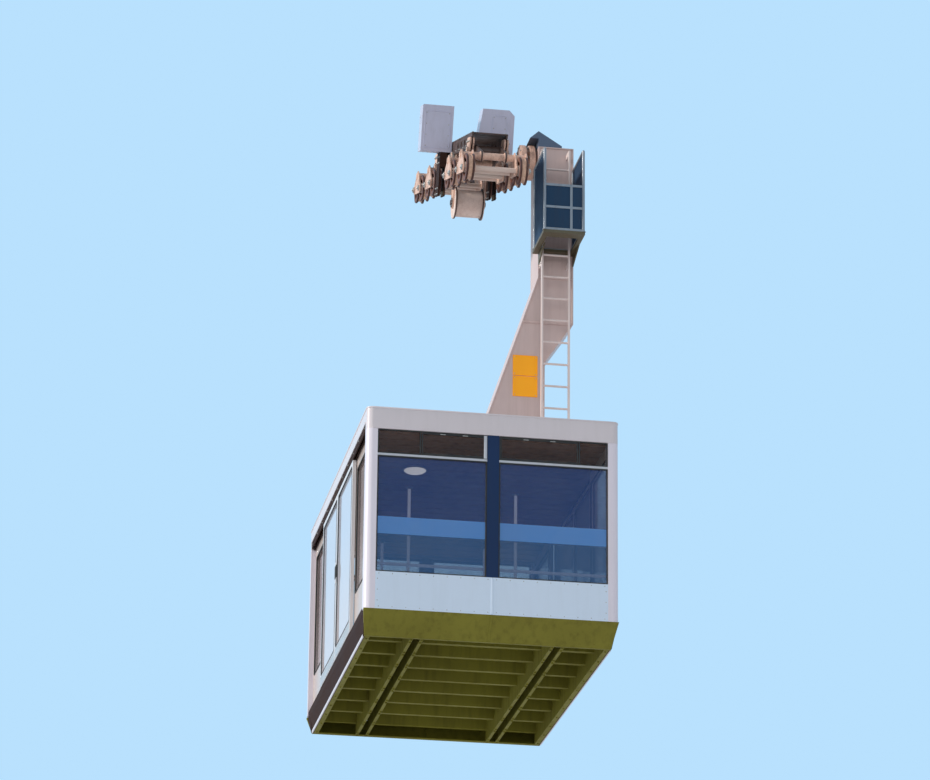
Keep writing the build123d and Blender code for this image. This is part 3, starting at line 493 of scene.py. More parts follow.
for end, end_name in ((-1, "front"), (1, "rear")):
    upright = (end * 0.092, end * (GLASS_Y + 0.012), (-0.560, -0.280))
    piece("vent_stile_" + end_name, [carried(bar_section, upright, 2.2 * X, end * Y)], trim)
piece("vent_frames", vent_frames, rubber)
piece("vent_hinges", vent_hinges, zinc)

panel_screws = []
mullion_screws = []
row_x = even(0.05, 1.33, 0.16)
for end in BOTH:
    head = rivet(0.012, end * Y)
    mullion_screws.append(spread(head, (-0.048, 0.048), end * HALF_L, even(-1.95, -0.33, 0.18)))
    panel_screws.append(spread(head, np.concatenate((-row_x, row_x)), end * HALF_L, (-2.035, -2.432)))
    panel_screws.append(spread(head, (-1.345, 1.345), end * HALF_L, even(-2.36, -2.10, 0.13)))
piece("end_screws", panel_screws, zinc)
piece("mullion_screws", mullion_screws, navy)
joint_strip = rounded(0.030, 0.006, 0.0025)
covers = [carried(joint_strip, (0, end * (HALF_L + PROUD), (-2.450, -2.020)), X, end * Y) for end in BOTH]
piece("end_joint_covers", covers, panel_white_with_sky_reflection)


# End skirts: folded sheets that slope in under each end, in two halves bolted to the underframe
# They share the underframe's khaki paint, whose olive tint is partly painted green light thrown up from
# below.
# A strip covers their joint, screws run along their edges, and a rolled lip and a flat strip close their
# foot.

# The khaki is partly painted light: grey steel tinted olive by green light thrown up from below.
KHAKI_WITH_GREEN_BOUNCE = (0.232, 0.213, 0.030)
khaki_and_green_bounce = coach_paint("khaki_underbody_paint_and_painted_green_bounce", KHAKI_WITH_GREEN_BOUNCE, (0.080, 0.062, 0.012), 0.4, 0.5, 0.0, 0.2, "khaki_paint")
dress(khaki_and_green_bounce, "end_skirts", "floor_beams", "cross_members", "floor_pans")
SKIRT_TOP = -2.460
SKIRT_IN = 0.250
SKIRT_DROP = 0.260
LIP_Y = HALF_L - SKIRT_IN - 0.004
FOOT_Y = 2.2365
screw_x = even(0.06, 1.42, 0.17)
skirt_screws = []
skirt_lips = []
skirt_covers = []
for end in BOTH:
    slope = np.array((0, end * SKIRT_DROP, -SKIRT_IN)) / math.hypot(SKIRT_DROP, SKIRT_IN)
    for share in (0.10, 0.88):
        y, z = end * (HALF_L - share * SKIRT_IN), SKIRT_TOP - share * SKIRT_DROP
        skirt_screws.append(spread(rivet(0.016, slope), np.concatenate((-screw_x, screw_x)), y, z))
    share = np.array((0.02, 0.97))
    seam_ends = (0, end * (HALF_L + PROUD - share * SKIRT_IN), SKIRT_TOP - PROUD - share * SKIRT_DROP)
    skirt_covers.append(carried(joint_strip, seam_ends, X, slope))
    skirt_lips.append(carried(rounded(0.018, 0.010, 0.004), ((-1.45, 1.45), end * LIP_Y, -2.716), Y, Z))
    skirt_lips.append(carried(rounded(0.032, 0.014, 0.003), ((-1.448, 1.448), end * FOOT_Y, -2.711), Y, Z))
piece("skirt_screws", skirt_screws, khaki_and_green_bounce)
piece("skirt_lips", skirt_lips, khaki_and_green_bounce)
piece("skirt_joint_covers", skirt_covers, khaki_and_green_bounce)


# Underframe: two channel beams and nine cross-members under a ribbed floor sheet, all welded
# Rivets hold the floor sheet beside each cross-member. Bolts on the beams' lips hold the hanger's ties.

def weld(path, size):
    """A weld bead: a round section carried along a straight run, swelling and falling at each ripple."""
    start, stop = points_of(path)
    run = stop - start
    count = max(3, int(np.linalg.norm(run) / 0.012))
    t = np.linspace(0, 1, count)[:, None]
    ripple = 1.0 + 0.14 * np.sin(np.arange(count) * 2.1)
    _, first, second = basis(run)
    bead = rounded(2 * size, 2 * size, size * 0.99, 1)
    return carried(bead, (start + t * run).T, first, second, swell=ripple)


CROSS_PITCH = 0.5375
CROSS_HALF = 0.030
CROSS_FOOT = -2.585
PAN_Z = -2.455
BEAM_FOOT = -2.720
BAYS = ((-1.380, -0.910), (-0.750, 0.750), (0.910, 1.380))
members = np.arange(-4, 5) * CROSS_PITCH
joint_welds = [weld((x, y + side * CROSS_HALF, (CROSS_FOOT + 0.004, PAN_Z)), 0.005)
               for y in members for x in np.ravel(BAYS) for side in BOTH]
piece("underframe_welds", joint_welds, khaki_and_green_bounce)
rivet_rows = members[:, None] + (-CROSS_HALF - 0.018, CROSS_HALF + 0.018)
pan_rivets = [spread(rivet(0.014, -Z), even(low + 0.05, high - 0.05, 0.094), rivet_rows, PAN_Z)
              for low, high in BAYS]
piece("pan_rivets", pan_rivets, khaki_and_green_bounce)
lip_x = (-0.891, -0.769, 0.769, 0.891)
underframe_bolts = [spread(bolt(0.024, -Z), lip_x, members[:, None] + (-0.05, 0.05), BEAM_FOOT),
                    spread(bolt(0.019, -Z), (-1.410, 1.410), even(-2.15, 2.15, 0.43), BEAM_FOOT)]
piece("underframe_bolts", underframe_bolts, khaki_and_green_bounce)


# Cabin floor: a plywood and steel deck under studded rubber
# Only its top shows rubber. Its edge and underside have the underframe's paint.

floor_paint = Paint("studded_floor_rubber")
STUD_PITCH = 0.032
FLOOR_TOP = -6.2515
stud = (floor_paint.axis(0).wave(STUD_PITCH) * floor_paint.axis(1).wave(STUD_PITCH)).over(0.62, 0.14)
worn = floor_paint.noise(1.4, 3.0).over(0.5, 0.4)
top_colour = floor_paint.mix(stud * 0.25 + worn * 0.25, (0.050, 0.050, 0.055), (0.13, 0.12, 0.11))
is_top = floor_paint.axis(2).over(FLOOR_TOP, 0.002)
# Below its top the deck takes the underbody khaki, with its painted green light.
floor_paint.set(Base_Color=floor_paint.mix(is_top, KHAKI_WITH_GREEN_BOUNCE, top_colour), Roughness=0.6 + worn * 0.2)
floor_paint.bump(stud * is_top, 0.6, 0.002)
dress(floor_paint, "floor_deck")


# Side walls: fixed glazed panels beside the doors, beige outside and in
# Each has one pane in a rubber strip on either face, and a row of rivets round its frame.

beige = coach_paint("beige_side_paint", (0.58, 0.49, 0.45), (0.30, 0.23, 0.19), 0.25, slot="beige_panel")
dress(beige, "side_walls")
# The side panes' rose-grey, paler low down, is painted reflection of the ground and sky; it also makes them
# partly opaque.
side_glass = tinted("side_glass", (0.50, 0.43, 0.44), 0.70, [(-5.25, 0.90, (0.33, 0.26, 0.27), 0.56)], 0.2)
dress(side_glass, "side_glass")
WALL_OUT = 1.440
WALL_IN = 1.395
SIDE_PANE_Y = 1.8325
SIDE_PANE = (0.935, 1.550)
SIDE_PANE_Z = -1.175
RIVET_REACH = 0.52
side_rubber = []
wall_rivets = []
for side, end in QUARTERS:
    pane_y = end * SIDE_PANE_Y
    for x, out in ((WALL_OUT - 0.002, side), (WALL_IN + 0.002, -side)):
        middle = (side * x, pane_y, SIDE_PANE_Z)
        side_rubber.append(frame_strip(gasket, middle, SIDE_PANE, 0.030, Y, Z, out * X))
    head = rivet(0.010, side * X)
    across = pane_y + even(-RIVET_REACH, RIVET_REACH, 0.13)
    wall_rivets.append(spread(head, side * WALL_OUT, across, (-0.330, -2.020, -2.330)))
    wall_rivets.append(spread(head, side * WALL_OUT, across[[0, -1]], even(-2.25, -0.42, 0.145)))
piece("side_window_rubber", side_rubber, rubber)
piece("side_wall_rivets", wall_rivets, beige)


# Doors: four sliding leaves of white coach sheet, each with one large pane in rubber
# A bulb seal runs up each leaf's meeting edge, a scuff plate is screwed on at its foot, and its
# handle has a dark grip.

door_white = coach_paint("door_coach_paint", (0.76, 0.75, 0.77), (0.40, 0.35, 0.31), 0.18)
# The door panes' pale rose low down and pale blue higher up are painted reflections of ground and sky; they
# make the panes almost opaque.
door_glass = tinted("door_glass", (0.84, 0.77, 0.80), 0.90, [(-5.35, 1.10, (0.69, 0.745, 0.88), 0.90)], 0.12)
scuff = Paint("brushed_steel", "bare_steel")
brushed = scuff.noise(40.0, 4.0, 0.6, (1.0, 0.06, 1.0))
scuff.set(Base_Color=scuff.mix(brushed.over(0.5, 0.5), (0.72, 0.71, 0.71), (0.50, 0.48, 0.46)), Metallic=0.7)
scuff.set(Roughness=0.28 + brushed * 0.25)
scuff.bump(brushed, 0.2, 0.0004)

DOOR_IN = 1.450
DOOR_OUT = 1.492
LEAF = (0.004, 1.300)
LEAF_PANE_Y = (0.066, 1.238)
LEAF_PANE_Z = (-2.250, -0.330)
PANE_SIZE = (LEAF_PANE_Y[1] - LEAF_PANE_Y[0], LEAF_PANE_Z[1] - LEAF_PANE_Z[0])
HANDLE_Y = 0.035
HANDLE_Z = -1.280
GRIP_Z = HANDLE_Z + np.array((-0.083, -0.076, 0.076, 0.083))
leaf_seal = rounded(0.018, 0.012, 0.004)
bulb = rounded(0.030, 0.006, 0.0028, 2)
for side_name, side in (("inner", -1), ("outer", 1)):
    for end_name, end in (("lower", -1), ("upper", 1)):
        key = side_name + "_" + end_name
        body = "door_" + key
        dress(door_white, body)
        dress(door_glass, "door_glass_" + key)
        seals = []
        for x, out in ((DOOR_OUT - 0.003, side), (DOOR_IN + 0.005, -side)):
            middle = (side * x, end * sum(LEAF_PANE_Y) / 2, sum(LEAF_PANE_Z) / 2)
            seals.append(frame_strip(leaf_seal, middle, PANE_SIZE, 0.030, Y, Z, out * X))
        edge = (side * (DOOR_IN + DOOR_OUT) / 2, end * (LEAF[0] - 0.0008), (-2.395, -0.275))
        seals.append(carried(bulb, edge, X, Y))
        piece("door_rubber_" + key, seals, rubber, body)
        foot = (side * (DOOR_OUT + 0.0005), (end * (LEAF[0] + 0.030), end * (LEAF[1] - 0.030)), -2.328)
        plate = carried(rounded(0.120, 0.003, 0.001, 1), foot, Z, X)
        piece("door_scuff_plate_" + key, [plate], scuff, body)
        screw_y = even(LEAF[0] + 0.045, LEAF[1] - 0.045, 0.15) * end
        screws = spread(rivet(0.010, side * X), side * (DOOR_OUT + 0.002), screw_y, (-2.278, -2.378))
        piece("door_screws_" + key, [screws], zinc, body)
        grip_path = (side * (DOOR_OUT + 0.0055), end * HANDLE_Y, GRIP_Z)
        grip = carried(rounded(0.042, 0.013, 0.005), grip_path, Y, X, swell=(0.7, 1.0, 1.0, 0.7))
        ribs = spread(turned([(-0.019, 0.0025), (0.019, 0.0025)], (0, 0, 0), Y, 8),
                      side * (DOOR_OUT + 0.0115), end * HANDLE_Y, HANDLE_Z + even(-0.06, 0.06, 0.015))
        piece("door_grip_" + key, [grip, ribs], rubber, body)


# Door gear: a dark slotted track under the roof edge, and a dark grooved sill above a sloping valance
# The tracks bolt to the roof edge, and rubber stops at their ends catch the leaves. A bright strip edges
# the valance, and a corner plate fills the gap between each of its ends and the skirt.

# This near-black steel is partly painted shade: the tracks sit in the dark gap under the roof edge, the sills
# in the shadow under the doors.
dark_steel_and_shade = coach_paint("dark_steel", (0.036, 0.017, 0.013), (0.07, 0.045, 0.035), 0.3, 0.6, 0.0, 0.08,
                   "dark_steel")
dress(dark_steel_and_shade, "door_tracks", "door_sills")
stop_profile = [(-0.004, 0.013), (0.030, 0.013), (0.038, 0.009)]
corner_outline = np.array(((0, 0), (0.245, 0), (0.044, 0.2154), (0, 0.2154)))
CORNER_X = np.array((1.4865, 1.4765))
track_bolts = []
sill_lips = []
corner_plates = []
stops = []
for side in BOTH:
    track_bolts.append(spread(bolt(0.017, side * X), side * 1.495, even(-2.30, 2.30, 0.46), -0.214))
    sill_lips.append(carried(rounded(0.014, 0.040, 0.004), (side * 1.456, (-2.220, 2.220), -2.706), X, Z))
    for end in BOTH:
        plate = (side * CORNER_X, end * 2.2205, -2.5005)
        corner_plates.append(carried(corner_outline, plate, end * Y, (-side * 0.110, 0, -0.994)))
        stops.append(turned(stop_profile, (side * 1.471, end * 2.382, -0.236), -end * Y, 16))
piece("track_bolts", track_bolts, zinc)
piece("sill_lips", sill_lips, white)
piece("valance_corners", corner_plates, dark_steel_and_shade)
piece("track_stops", stops, rubber)


# Inside: a brown boarded ceiling with two round opal lamps, faintly glowing white poles and rails, and pale
# blue waist boards
# The poles stand in turned flanges, screwed to the floor and the ceiling.

dress(coach_paint("ceiling_brown", (0.40, 0.235, 0.170), (0.08, 0.04, 0.03), 0.4, 0.55, 0, 0.3), "ceiling")
glowing_rail_paint = coach_paint("white_rail", (0.88, 0.88, 0.90), (0.6, 0.58, 0.55), 0.08)
# The rails' faint glow is painted light: it stands in for sunlight falling on them through the side windows.
glowing_rail_paint.set(Emission_Color=(0.9, 0.9, 1.0, 1.0), Emission_Strength=0.2)
dress(glowing_rail_paint, "grab_rails")
dress(coach_paint("waist_board_laminate", (0.26, 0.51, 0.92), (0.2, 0.35, 0.6), 0.15), "waist_boards")
lamp_glass = Paint("opal_lamp_glass", "white_rail")
frost = lamp_glass.noise(80.0, 2.0)
lamp_glass.set(Base_Color=lamp_glass.mix(frost, (0.80, 0.80, 0.78), (0.72, 0.72, 0.70)))
lamp_glass.set(Roughness=0.35 + frost * 0.1, Emission_Color=(1.0, 0.96, 0.90, 1.0), Emission_Strength=0.55)
lamp_glass.bump(frost, 0.1, 0.0005)

CEILING_Z = -0.250
FLOOR_Z = -2.380
RAIL_Z = -1.870
BOARD_Y = 2.365
POLE_R = 0.019
POLES = [(x, y) for x in (-0.66, 0.66) for y in (-0.34, 1.90)]
LAMPS = [(-0.70, -1.04), (0.70, 1.04)]
flange = [(0.0, 0.045), (0.006, 0.045), (0.010, 0.040), (0.012, 0.026), (0.026, 0.022), (0.026, POLE_R)]
flanges = [turned(flange, (x, y, z), way) for z, way in ((FLOOR_Z, Z), (CEILING_Z, -Z)) for x, y in POLES]
flanges += [turned(flange, (side * WALL_IN, end * BOARD_Y, RAIL_Z), -side * X) for end, side in QUARTERS]
piece("pole_flanges", flanges, zinc)
bowl = [(-0.002, 0.135), (0.016, 0.133), (0.034, 0.112), (0.046, 0.078), (0.052, 0.036)]
bezel = [(-0.002, 0.155), (0.010, 0.155), (0.015, 0.147), (0.015, 0.132)]
piece("ceiling_lamps", [turned(bowl, (x, y, CEILING_Z), -Z, 28) for x, y in LAMPS], lamp_glass)
piece("lamp_bezels", [turned(bezel, (x, y, CEILING_Z), -Z, 28) for x, y in LAMPS], zinc)
board_trim = [carried(rounded(0.034, 0.008, 0.003), ((-1.390, 1.390), end * BOARD_Y, z), Y, Z)
              for end in BOTH for z in (-1.300, -1.510)]
piece("waist_board_trim", board_trim, trim)


# Hanger: a welded steel box whose rims stand proud of its webs, on a base plate, under a head cover in dark
# slate blue, partly painted shade
# A weld bead runs inside the rims on both faces. Studs with nuts hold the base to the roof frame.

HANGER_AT = (0.0, -0.13906, -3.870)


def on_hanger(points):
    """From the roof's top on the ropes' mid-line to where the hanger stands."""
    return points + HANGER_AT


def welds_round(corners, size):
    """A weld bead along each edge of a closed outline of points."""
    return [weld(np.transpose(edge), size) for edge in zip(corners, corners[1:] + corners[:1])]


def inset(outline, distance):
    """An outline of (x, z) points moved inwards: each corner goes along the sum of its two edges' normals."""
    outline = np.asarray(outline, float)
    edge = np.roll(outline, -1, axis=0) - outline
    edge /= np.linalg.norm(edge, axis=1, keepdims=True)
    normal = np.stack((-edge[:, 1], edge[:, 0]), axis=-1)
    before = np.roll(normal, 1, axis=0)
    return outline + distance * (normal + before) / (1 + (normal * before).sum(axis=1, keepdims=True))


hanger_paint = coach_paint("hanger_paint", (0.68, 0.53, 0.50), (0.34, 0.23, 0.20), 0.24, 0.36, 0.1,
                           slot="hanger_paint")
dress(hanger_paint, "hanger_column", "hanger_leg", "hanger_base")
# The head cover's dark slate blue is partly painted shade: it stands in for the shadow over the top of the
# hanger's head.
dress(coach_paint("slate_blue_paint_and_painted_shade", (0.085, 0.125, 0.200), (0.08, 0.07, 0.06), 0.3, 0.4, 0.1), "head_cap")
SPLICE_Z = 2.050
LEG = [(-0.050, 0.020), (0.920, 0.020), (0.920, 1.520), (1.280, SPLICE_Z), (0.631, SPLICE_Z)]
COLUMN = [(0.631, SPLICE_Z), (1.280, SPLICE_Z), (1.280, 4.428), (0.830, 4.428), (0.830, 2.650)]
RIM = 0.014
WEB_Y = 0.242
RIM_Y = 0.260
BASE_TOP = 0.020
rim_welds = []
for outline in (LEG, COLUMN):
    for face in (-WEB_Y, WEB_Y):
        rim_welds += welds_round([(x, face, z) for x, z in inset(outline, RIM)], 0.005)
for face in (-RIM_Y, RIM_Y):
    rim_welds.append(weld(((0.631, 1.280), face, SPLICE_Z), 0.005))
foot = ((-0.050, -RIM_Y), (0.920, -RIM_Y), (0.920, RIM_Y), (-0.050, RIM_Y))
rim_welds += welds_round([(*corner, BASE_TOP + 0.002) for corner in foot], 0.007)
piece("hanger_welds", rim_welds, hanger_paint, place=on_hanger)
side_row = (even(-0.075, 0.945, 0.17), (-0.292, 0.292), BASE_TOP)
stud = turned([(0.0, 0.009), (0.034, 0.009), (0.037, 0.007)], (0, 0, 0), Z, 12)
base_bolts = [spread(bolt(0.036, Z), *side_row), spread(stud, *side_row),
              spread(bolt(0.036, Z), (-0.082, 0.952), (-0.14, 0.0, 0.14), BASE_TOP)]
piece("base_bolts", base_bolts, zinc, place=on_hanger)


# Swing shaft and damper: a steel shaft with end caps, and two drums of friction discs on its sleeve
# The damper steadies the cabin. A ring of bolts clamps each drum, and a ring plate backs the column.

def cast_paint(name, colour, stain, amount, slot=None):
    """Brushed paint on castings and thick plate: rust blotches stain it, and its skin is finely pitted."""
    paint = Paint(name, slot)
    blotch = paint.noise(7.0, 5.0, 0.65).over(0.55, 0.22)
    pits = paint.noise(70.0, 3.0)
    grime = blotch * amount + pits.over(0.60, 0.2) * (amount * 0.5)
    paint.set(Base_Color=paint.mix(grime, colour, stain), Roughness=0.48 + blotch * 0.2)
    return paint.bump(pits, 0.3, 0.001)


primer = cast_paint("oxide_primer", (0.78, 0.53, 0.42), (0.17, 0.080, 0.055), 0.6, "primer_steel")
dress(primer, "swing_damper")
steel = clouded("machined_steel", None, 11.0, (0.50, 0.47, 0.44), (0.22, 0.17, 0.13), 0.3, 0.25, 0.8)
steel.bump(steel.noise(120.0, 2.0), 0.15, 0.0005)
dress(steel, "swing_shaft")


def ring_of(size, count, radius, centre, axis):
    """Bolts on a circle square to an axis: centre + radius * direction(t)."""
    _, first, second = basis(axis)
    t = np.arange(count)[:, None] * 2 * math.pi / count
    return copies(bolt(size, axis), centre + radius * (np.cos(t) * first + np.sin(t) * second))


PIVOT_H = 4.298
DRUM_HALF = 0.035
shaft_cap = [(-0.001, 0.066), (0.007, 0.066), (0.010, 0.062)]
drum_face = [(-0.001, 0.160), (0.005, 0.160), (0.006, 0.150)]
disc_edge = [(-0.003, 0.219), (-0.003, 0.2235), (0.003, 0.2235), (0.003, 0.219)]
ring_plate = [(-0.001, 0.150), (0.010, 0.150), (0.013, 0.144), (0.013, 0.090)]
swing_bolts = []
swing_rings = []
for x, way in ((1.300, 1), (-0.245, -1)):
    swing_rings.append(turned(shaft_cap, (x, 0, PIVOT_H), way * X, 40))
    swing_bolts.append(ring_of(0.019, 6, 0.046, (x + way * 0.009, 0, PIVOT_H), way * X))
for drum in (0.655, 0.765):
    swing_bolts.append(ring_of(0.019, 12, 0.190, (drum - DRUM_HALF, 0, PIVOT_H), -X))
    swing_rings += [turned(drum_face, (drum + way * DRUM_HALF, 0, PIVOT_H), way * X, 40) for way in BOTH]
    swing_rings += [turned(disc_edge, (drum + dx, 0, PIVOT_H), X, 56) for dx in (-0.020, 0.0, 0.020)]
swing_rings.append(turned(ring_plate, (1.280, 0, PIVOT_H), X, 48))
swing_bolts.append(ring_of(0.022, 10, 0.122, (1.292, 0, PIVOT_H), X))
piece("swing_rings", swing_rings, primer, place=on_hanger)
piece("swing_bolts", swing_bolts, zinc, place=on_hanger)


# Notice plates: two blank plates on the leg's web, in bright orange enamel with a faint painted glow
# Each has a folded edge and four screws.

orange = coach_paint("orange_enamel", (0.98, 0.42, 0.004), (0.62, 0.22, 0.01), 0.15, 0.3, 0.1, 0.3,
                     "orange_plate")
# The plates' glow is painted light, not a lamp: it keeps the orange bright on the shaded face.
orange.set(Emission_Color=(1.0, 0.36, 0.0, 1.0), Emission_Strength=0.16)
dress(orange, "notice_plates")
NOTICE_X = 0.675
NOTICE_Y = -0.249
NOTICE_Z = (1.1925, 1.4675)
NOTICE_SIZE = (0.304, 0.259)
fold = rounded(0.008, 0.006, 0.0025)
folds = [frame_strip(fold, (NOTICE_X, NOTICE_Y, z), NOTICE_SIZE, 0.010, X, Z, -Y) for z in NOTICE_Z]
piece("notice_plate_edges", folds, orange, place=on_hanger)
notice_screws = spread(rivet(0.013, -Y), (NOTICE_X - 0.133, NOTICE_X + 0.133), NOTICE_Y + PROUD,
                       np.array(NOTICE_Z)[:, None] + (-0.110, 0.110))
piece("notice_plate_screws", [notice_screws], zinc, place=on_hanger)


# Ladder: round rungs welded between flat stiles, from the roof up through the platform
# It is bolted to brackets on the column. A weld ring closes each rung's end, and rings on it give a grip.

ladder_paint = coach_paint("ladder_paint", (0.86, 0.74, 0.71), (0.45, 0.34, 0.30), 0.2, 0.34, 0.1,
                           slot="ladder_paint")
dress(ladder_paint, "ladder_stiles", "ladder_rungs")
LADDER_X = 1.025
LADDER_Y = -0.410
BRACKET_Z = (2.800, 3.549, 4.298)
bead = [(0.0, 0.0185), (0.0035, 0.0175), (0.006, 0.0135)]
grip_ring = turned([(-0.004, 0.0128), (-0.003, 0.0138), (0.003, 0.0138), (0.004, 0.0128)], (0, 0, 0), X, 12)
rungs = np.arange(1, 15) * 0.290
bolt_y = (LADDER_Y + 0.012, -0.290)
bolt_z = np.array(BRACKET_Z)[:, None] + (-0.015, 0.015)
rung_grips = [spread(grip_ring, even(LADDER_X - 0.120, LADDER_X + 0.120, 0.020), LADDER_Y, rungs)]
ladder_bolts = []
ladder_feet = []
for way in BOTH:
    rung_grips.append(spread(turned(bead, (0, 0, 0), -way * X, 16), LADDER_X + way * 0.159, LADDER_Y, rungs))
    ladder_bolts.append(spread(bolt(0.015, way * X), LADDER_X + way * 0.181, bolt_y, bolt_z))
    stile_foot = (LADDER_X + way * 0.170, LADDER_Y, (0.0, 0.008))
    ladder_feet.append(carried(rounded(0.070, 0.080, 0.006), stile_foot, X, Y))
piece("rung_grips", rung_grips, ladder_paint, place=on_hanger)
piece("ladder_bolts", ladder_bolts, zinc, place=on_hanger)
piece("ladder_feet", ladder_feet, ladder_paint, place=on_hanger)


# Service platform: a chequer-plate deck on two gussets, with a railing and sheet sides
# The posts are welded to round foot plates. The sheets are riveted to flat bars.

deck_paint = coach_paint("platform_deck_paint", (0.100, 0.082, 0.040), (0.15, 0.11, 0.07), 0.4, 0.45, 0.1)
along, across = deck_paint.axis(0), deck_paint.axis(1)
chequer = (along + across).wave(0.050) * (along - across).wave(0.022)
deck_paint.bump(chequer.over(0.55, 0.2), 0.7, 0.002)
platform_paint = coach_paint("platform_paint", (0.26, 0.32, 0.39), (0.12, 0.10, 0.08), 0.4,
                             slot="platform_paint")
# The sheets' near-black navy is partly painted shade: it stands where the platform's sides and the web behind
# the ladder lie in shadow.
sheet_paint_and_shade = coach_paint("platform_sheet_paint_and_painted_shade", (0.017, 0.053, 0.112), (0.06, 0.05, 0.05), 0.2, 0.6, 0, 0.2)
dress(deck_paint, "platform_deck")
dress(platform_paint, "platform_rail")
dress(sheet_paint_and_shade, "platform_sheets")
DECK_Z = 3.000
SHEET_Y = -1.015
POSTS = [(x, y) for x in (0.773, 1.262) for y in (-1.002, -0.320)]
post_foot = [(0.0, 0.030), (0.005, 0.030), (0.006, 0.026), (0.014, 0.0185)]
foot_plates = [turned(post_foot, (x, y, DECK_Z), Z, 24) for x, y in POSTS]
hatch_middle = (LADDER_X, -0.623, DECK_Z + PROUD)
foot_plates.append(frame_strip(rounded(0.020, 0.008, 0.003), hatch_middle, (0.414, 0.514), 0.012, X, Y, Z))
piece("platform_foot_plates", foot_plates, platform_paint, place=on_hanger)
sheet_rivets = [spread(rivet(0.010, -Y), even(0.80, 1.235, 0.062), SHEET_Y, (3.015, 3.310, 3.605)),
                spread(rivet(0.010, -Y), 1.108, SHEET_Y, even(3.06, 3.56, 0.083))]
for x, way in ((0.770, -X), (1.265, X)):
    sheet_rivets.append(spread(rivet(0.010, way), x, even(-0.960, -0.362, 0.10), (3.030, 4.040)))
piece("platform_rivets", sheet_rivets, platform_paint, place=on_hanger)
gusset_bolts = spread(bolt(0.017, Z), (0.837, 1.273), (-0.32, -0.47, -0.62), DECK_Z)
piece("platform_bolts", [gusset_bolts], zinc, place=on_hanger)


# Carriage frame: two steel side plates under a cover plate, in dark oxide paint that is partly painted shade
# Collars stiffen the lightening holes. Bolts hold the cover and the brackets of the rocker pins.

LINE_TILT = math.radians(18)


def on_line(points):
    """From level (x, up the line, square to it) to the ropes' slope: turned round X."""
    x, s, n = points.T
    return np.stack((x, s * math.cos(LINE_TILT) - n * math.sin(LINE_TILT),
                     s * math.sin(LINE_TILT) + n * math.cos(LINE_TILT)), axis=-1)


# The oxide's near-black is partly painted shade: it darkens the frame, rockers and caps among the wheels,
# where shadow falls.
dark_oxide_and_shade = cast_paint("dark_oxide_paint_and_painted_shade", (0.085, 0.045, 0.034), (0.035, 0.020, 0.016), 0.6, "frame_steel")
dress(primer, "carriage_brackets")
dress(dark_oxide_and_shade, "carriage_plates", "carriage_cover")
FRAME_OUT = 0.225
FRAME_S = (-1.460, 1.460)
COVER_N = 0.640
HOLE_N = 0.5625
BRACKET_S = 1.330
collar = [(0.0, 0.056), (0.004, 0.056), (0.007, 0.052), (0.007, 0.0405), (0.0, 0.0405)]
holes = [way * (0.400 + 0.260 * k) for way in BOTH for k in range(4)]
bracket_bolts = [way * BRACKET_S + ds for way in BOTH for ds in (-0.075, 0, 0.075)]
frame_rings = []
frame_bolts = []
cover_welds = []
for side in BOTH:
    frame_rings += [turned(collar, (side * FRAME_OUT, s, HOLE_N), side * X, 28, hollow=True) for s in holes]
    frame_bolts.append(spread(bolt(0.019, Z), side * 0.205, even(-1.40, 1.40, 0.175), COVER_N + 0.016))
    frame_bolts.append(spread(bolt(0.024, side * X), side * 0.243, bracket_bolts, 0.545))
    frame_bolts.append(spread(bolt(0.019, side * X), side * FRAME_OUT, even(-1.06, 1.06, 0.265), 0.508))
    cover_welds += [weld((side * x, FRAME_S, COVER_N), 0.004) for x in (0.2255, 0.2045)]
piece("frame_collars", frame_rings, dark_oxide_and_shade, "carriage", on_line)
piece("frame_bolts", frame_bolts, zinc, "carriage", on_line)
piece("frame_welds", cover_welds, dark_oxide_and_shade, "carriage", on_line)


# Haul rope drum: a cast bollard with raised rims, fixed between the frame's cheeks
# Bolts clamp its rims. Its stubs end in turned caps.

dress(cast_paint("bollard_iron", (0.86, 0.69, 0.61), (0.48, 0.31, 0.25), 0.4), "haul_rope_drum")
DRUM_N = -0.124
stub_cap = [(-0.001, 0.034), (0.006, 0.034), (0.009, 0.030)]
stub_collar = [(-0.002, 0.066), (0.009, 0.062), (0.012, 0.041)]
drum_rim = [(-0.008, 0.197), (-0.008, 0.2015), (0.008, 0.2015), (0.008, 0.197)]
drum_bolts = []
drum_caps = []
for side in BOTH:
    drum_caps.append(turned(stub_cap, (side * 0.217, 0, DRUM_N), side * X))
    drum_caps.append(turned(stub_collar, (side * 0.205, 0, DRUM_N), side * X))
    drum_caps.append(turned(drum_rim, (side * 0.171, 0, DRUM_N), X, 64))
    drum_bolts.append(ring_of(0.017, 8, 0.052, (side * 0.206, 0, DRUM_N), side * X))
piece("drum_caps", drum_caps, dark_oxide_and_shade, "carriage", on_line)
piece("drum_bolts", drum_bolts, zinc, "carriage", on_line)


# Track rope brakes: yokes over the ropes with bronze shoes, under tall pressed sheet housings
# The housings cover the springs. Each has a pressed panel on its two faces, screwed at its corners.

dress(dark_steel_and_shade, "rope_brakes")
housing_paint = coach_paint("housing_paint", (0.58, 0.59, 0.75), (0.28, 0.26, 0.30), 0.20,
                            slot="housing_grey")
dress(housing_paint, "brake_housings")
bronze = clouded("bronze_shoe", "bare_steel", 18.0, (0.50, 0.30, 0.12), (0.16, 0.11, 0.06), 0.35, 0.25, 0.8)
ROPE_X = 0.330
shoe = rounded(0.003, 0.060, 0.001, 1)
foot_s = (0.145, 0.200, 0.260, 0.315)
shoes = []
brake_bolts = []
for side, way in QUARTERS:
    x = side * ROPE_X + way * 0.0255
    shoes.append(carried(shoe, (x, (0.115, 0.345), 0.0), X, Z))
    outer = side * ROPE_X + way * 0.045
    brake_bolts.append(spread(bolt(0.017, way * X), outer, foot_s, (-0.015, 0.060)))
    brake_bolts.append(spread(bolt(0.019, way * X), outer, (0.150, 0.230, 0.310), (0.380, 0.460)))
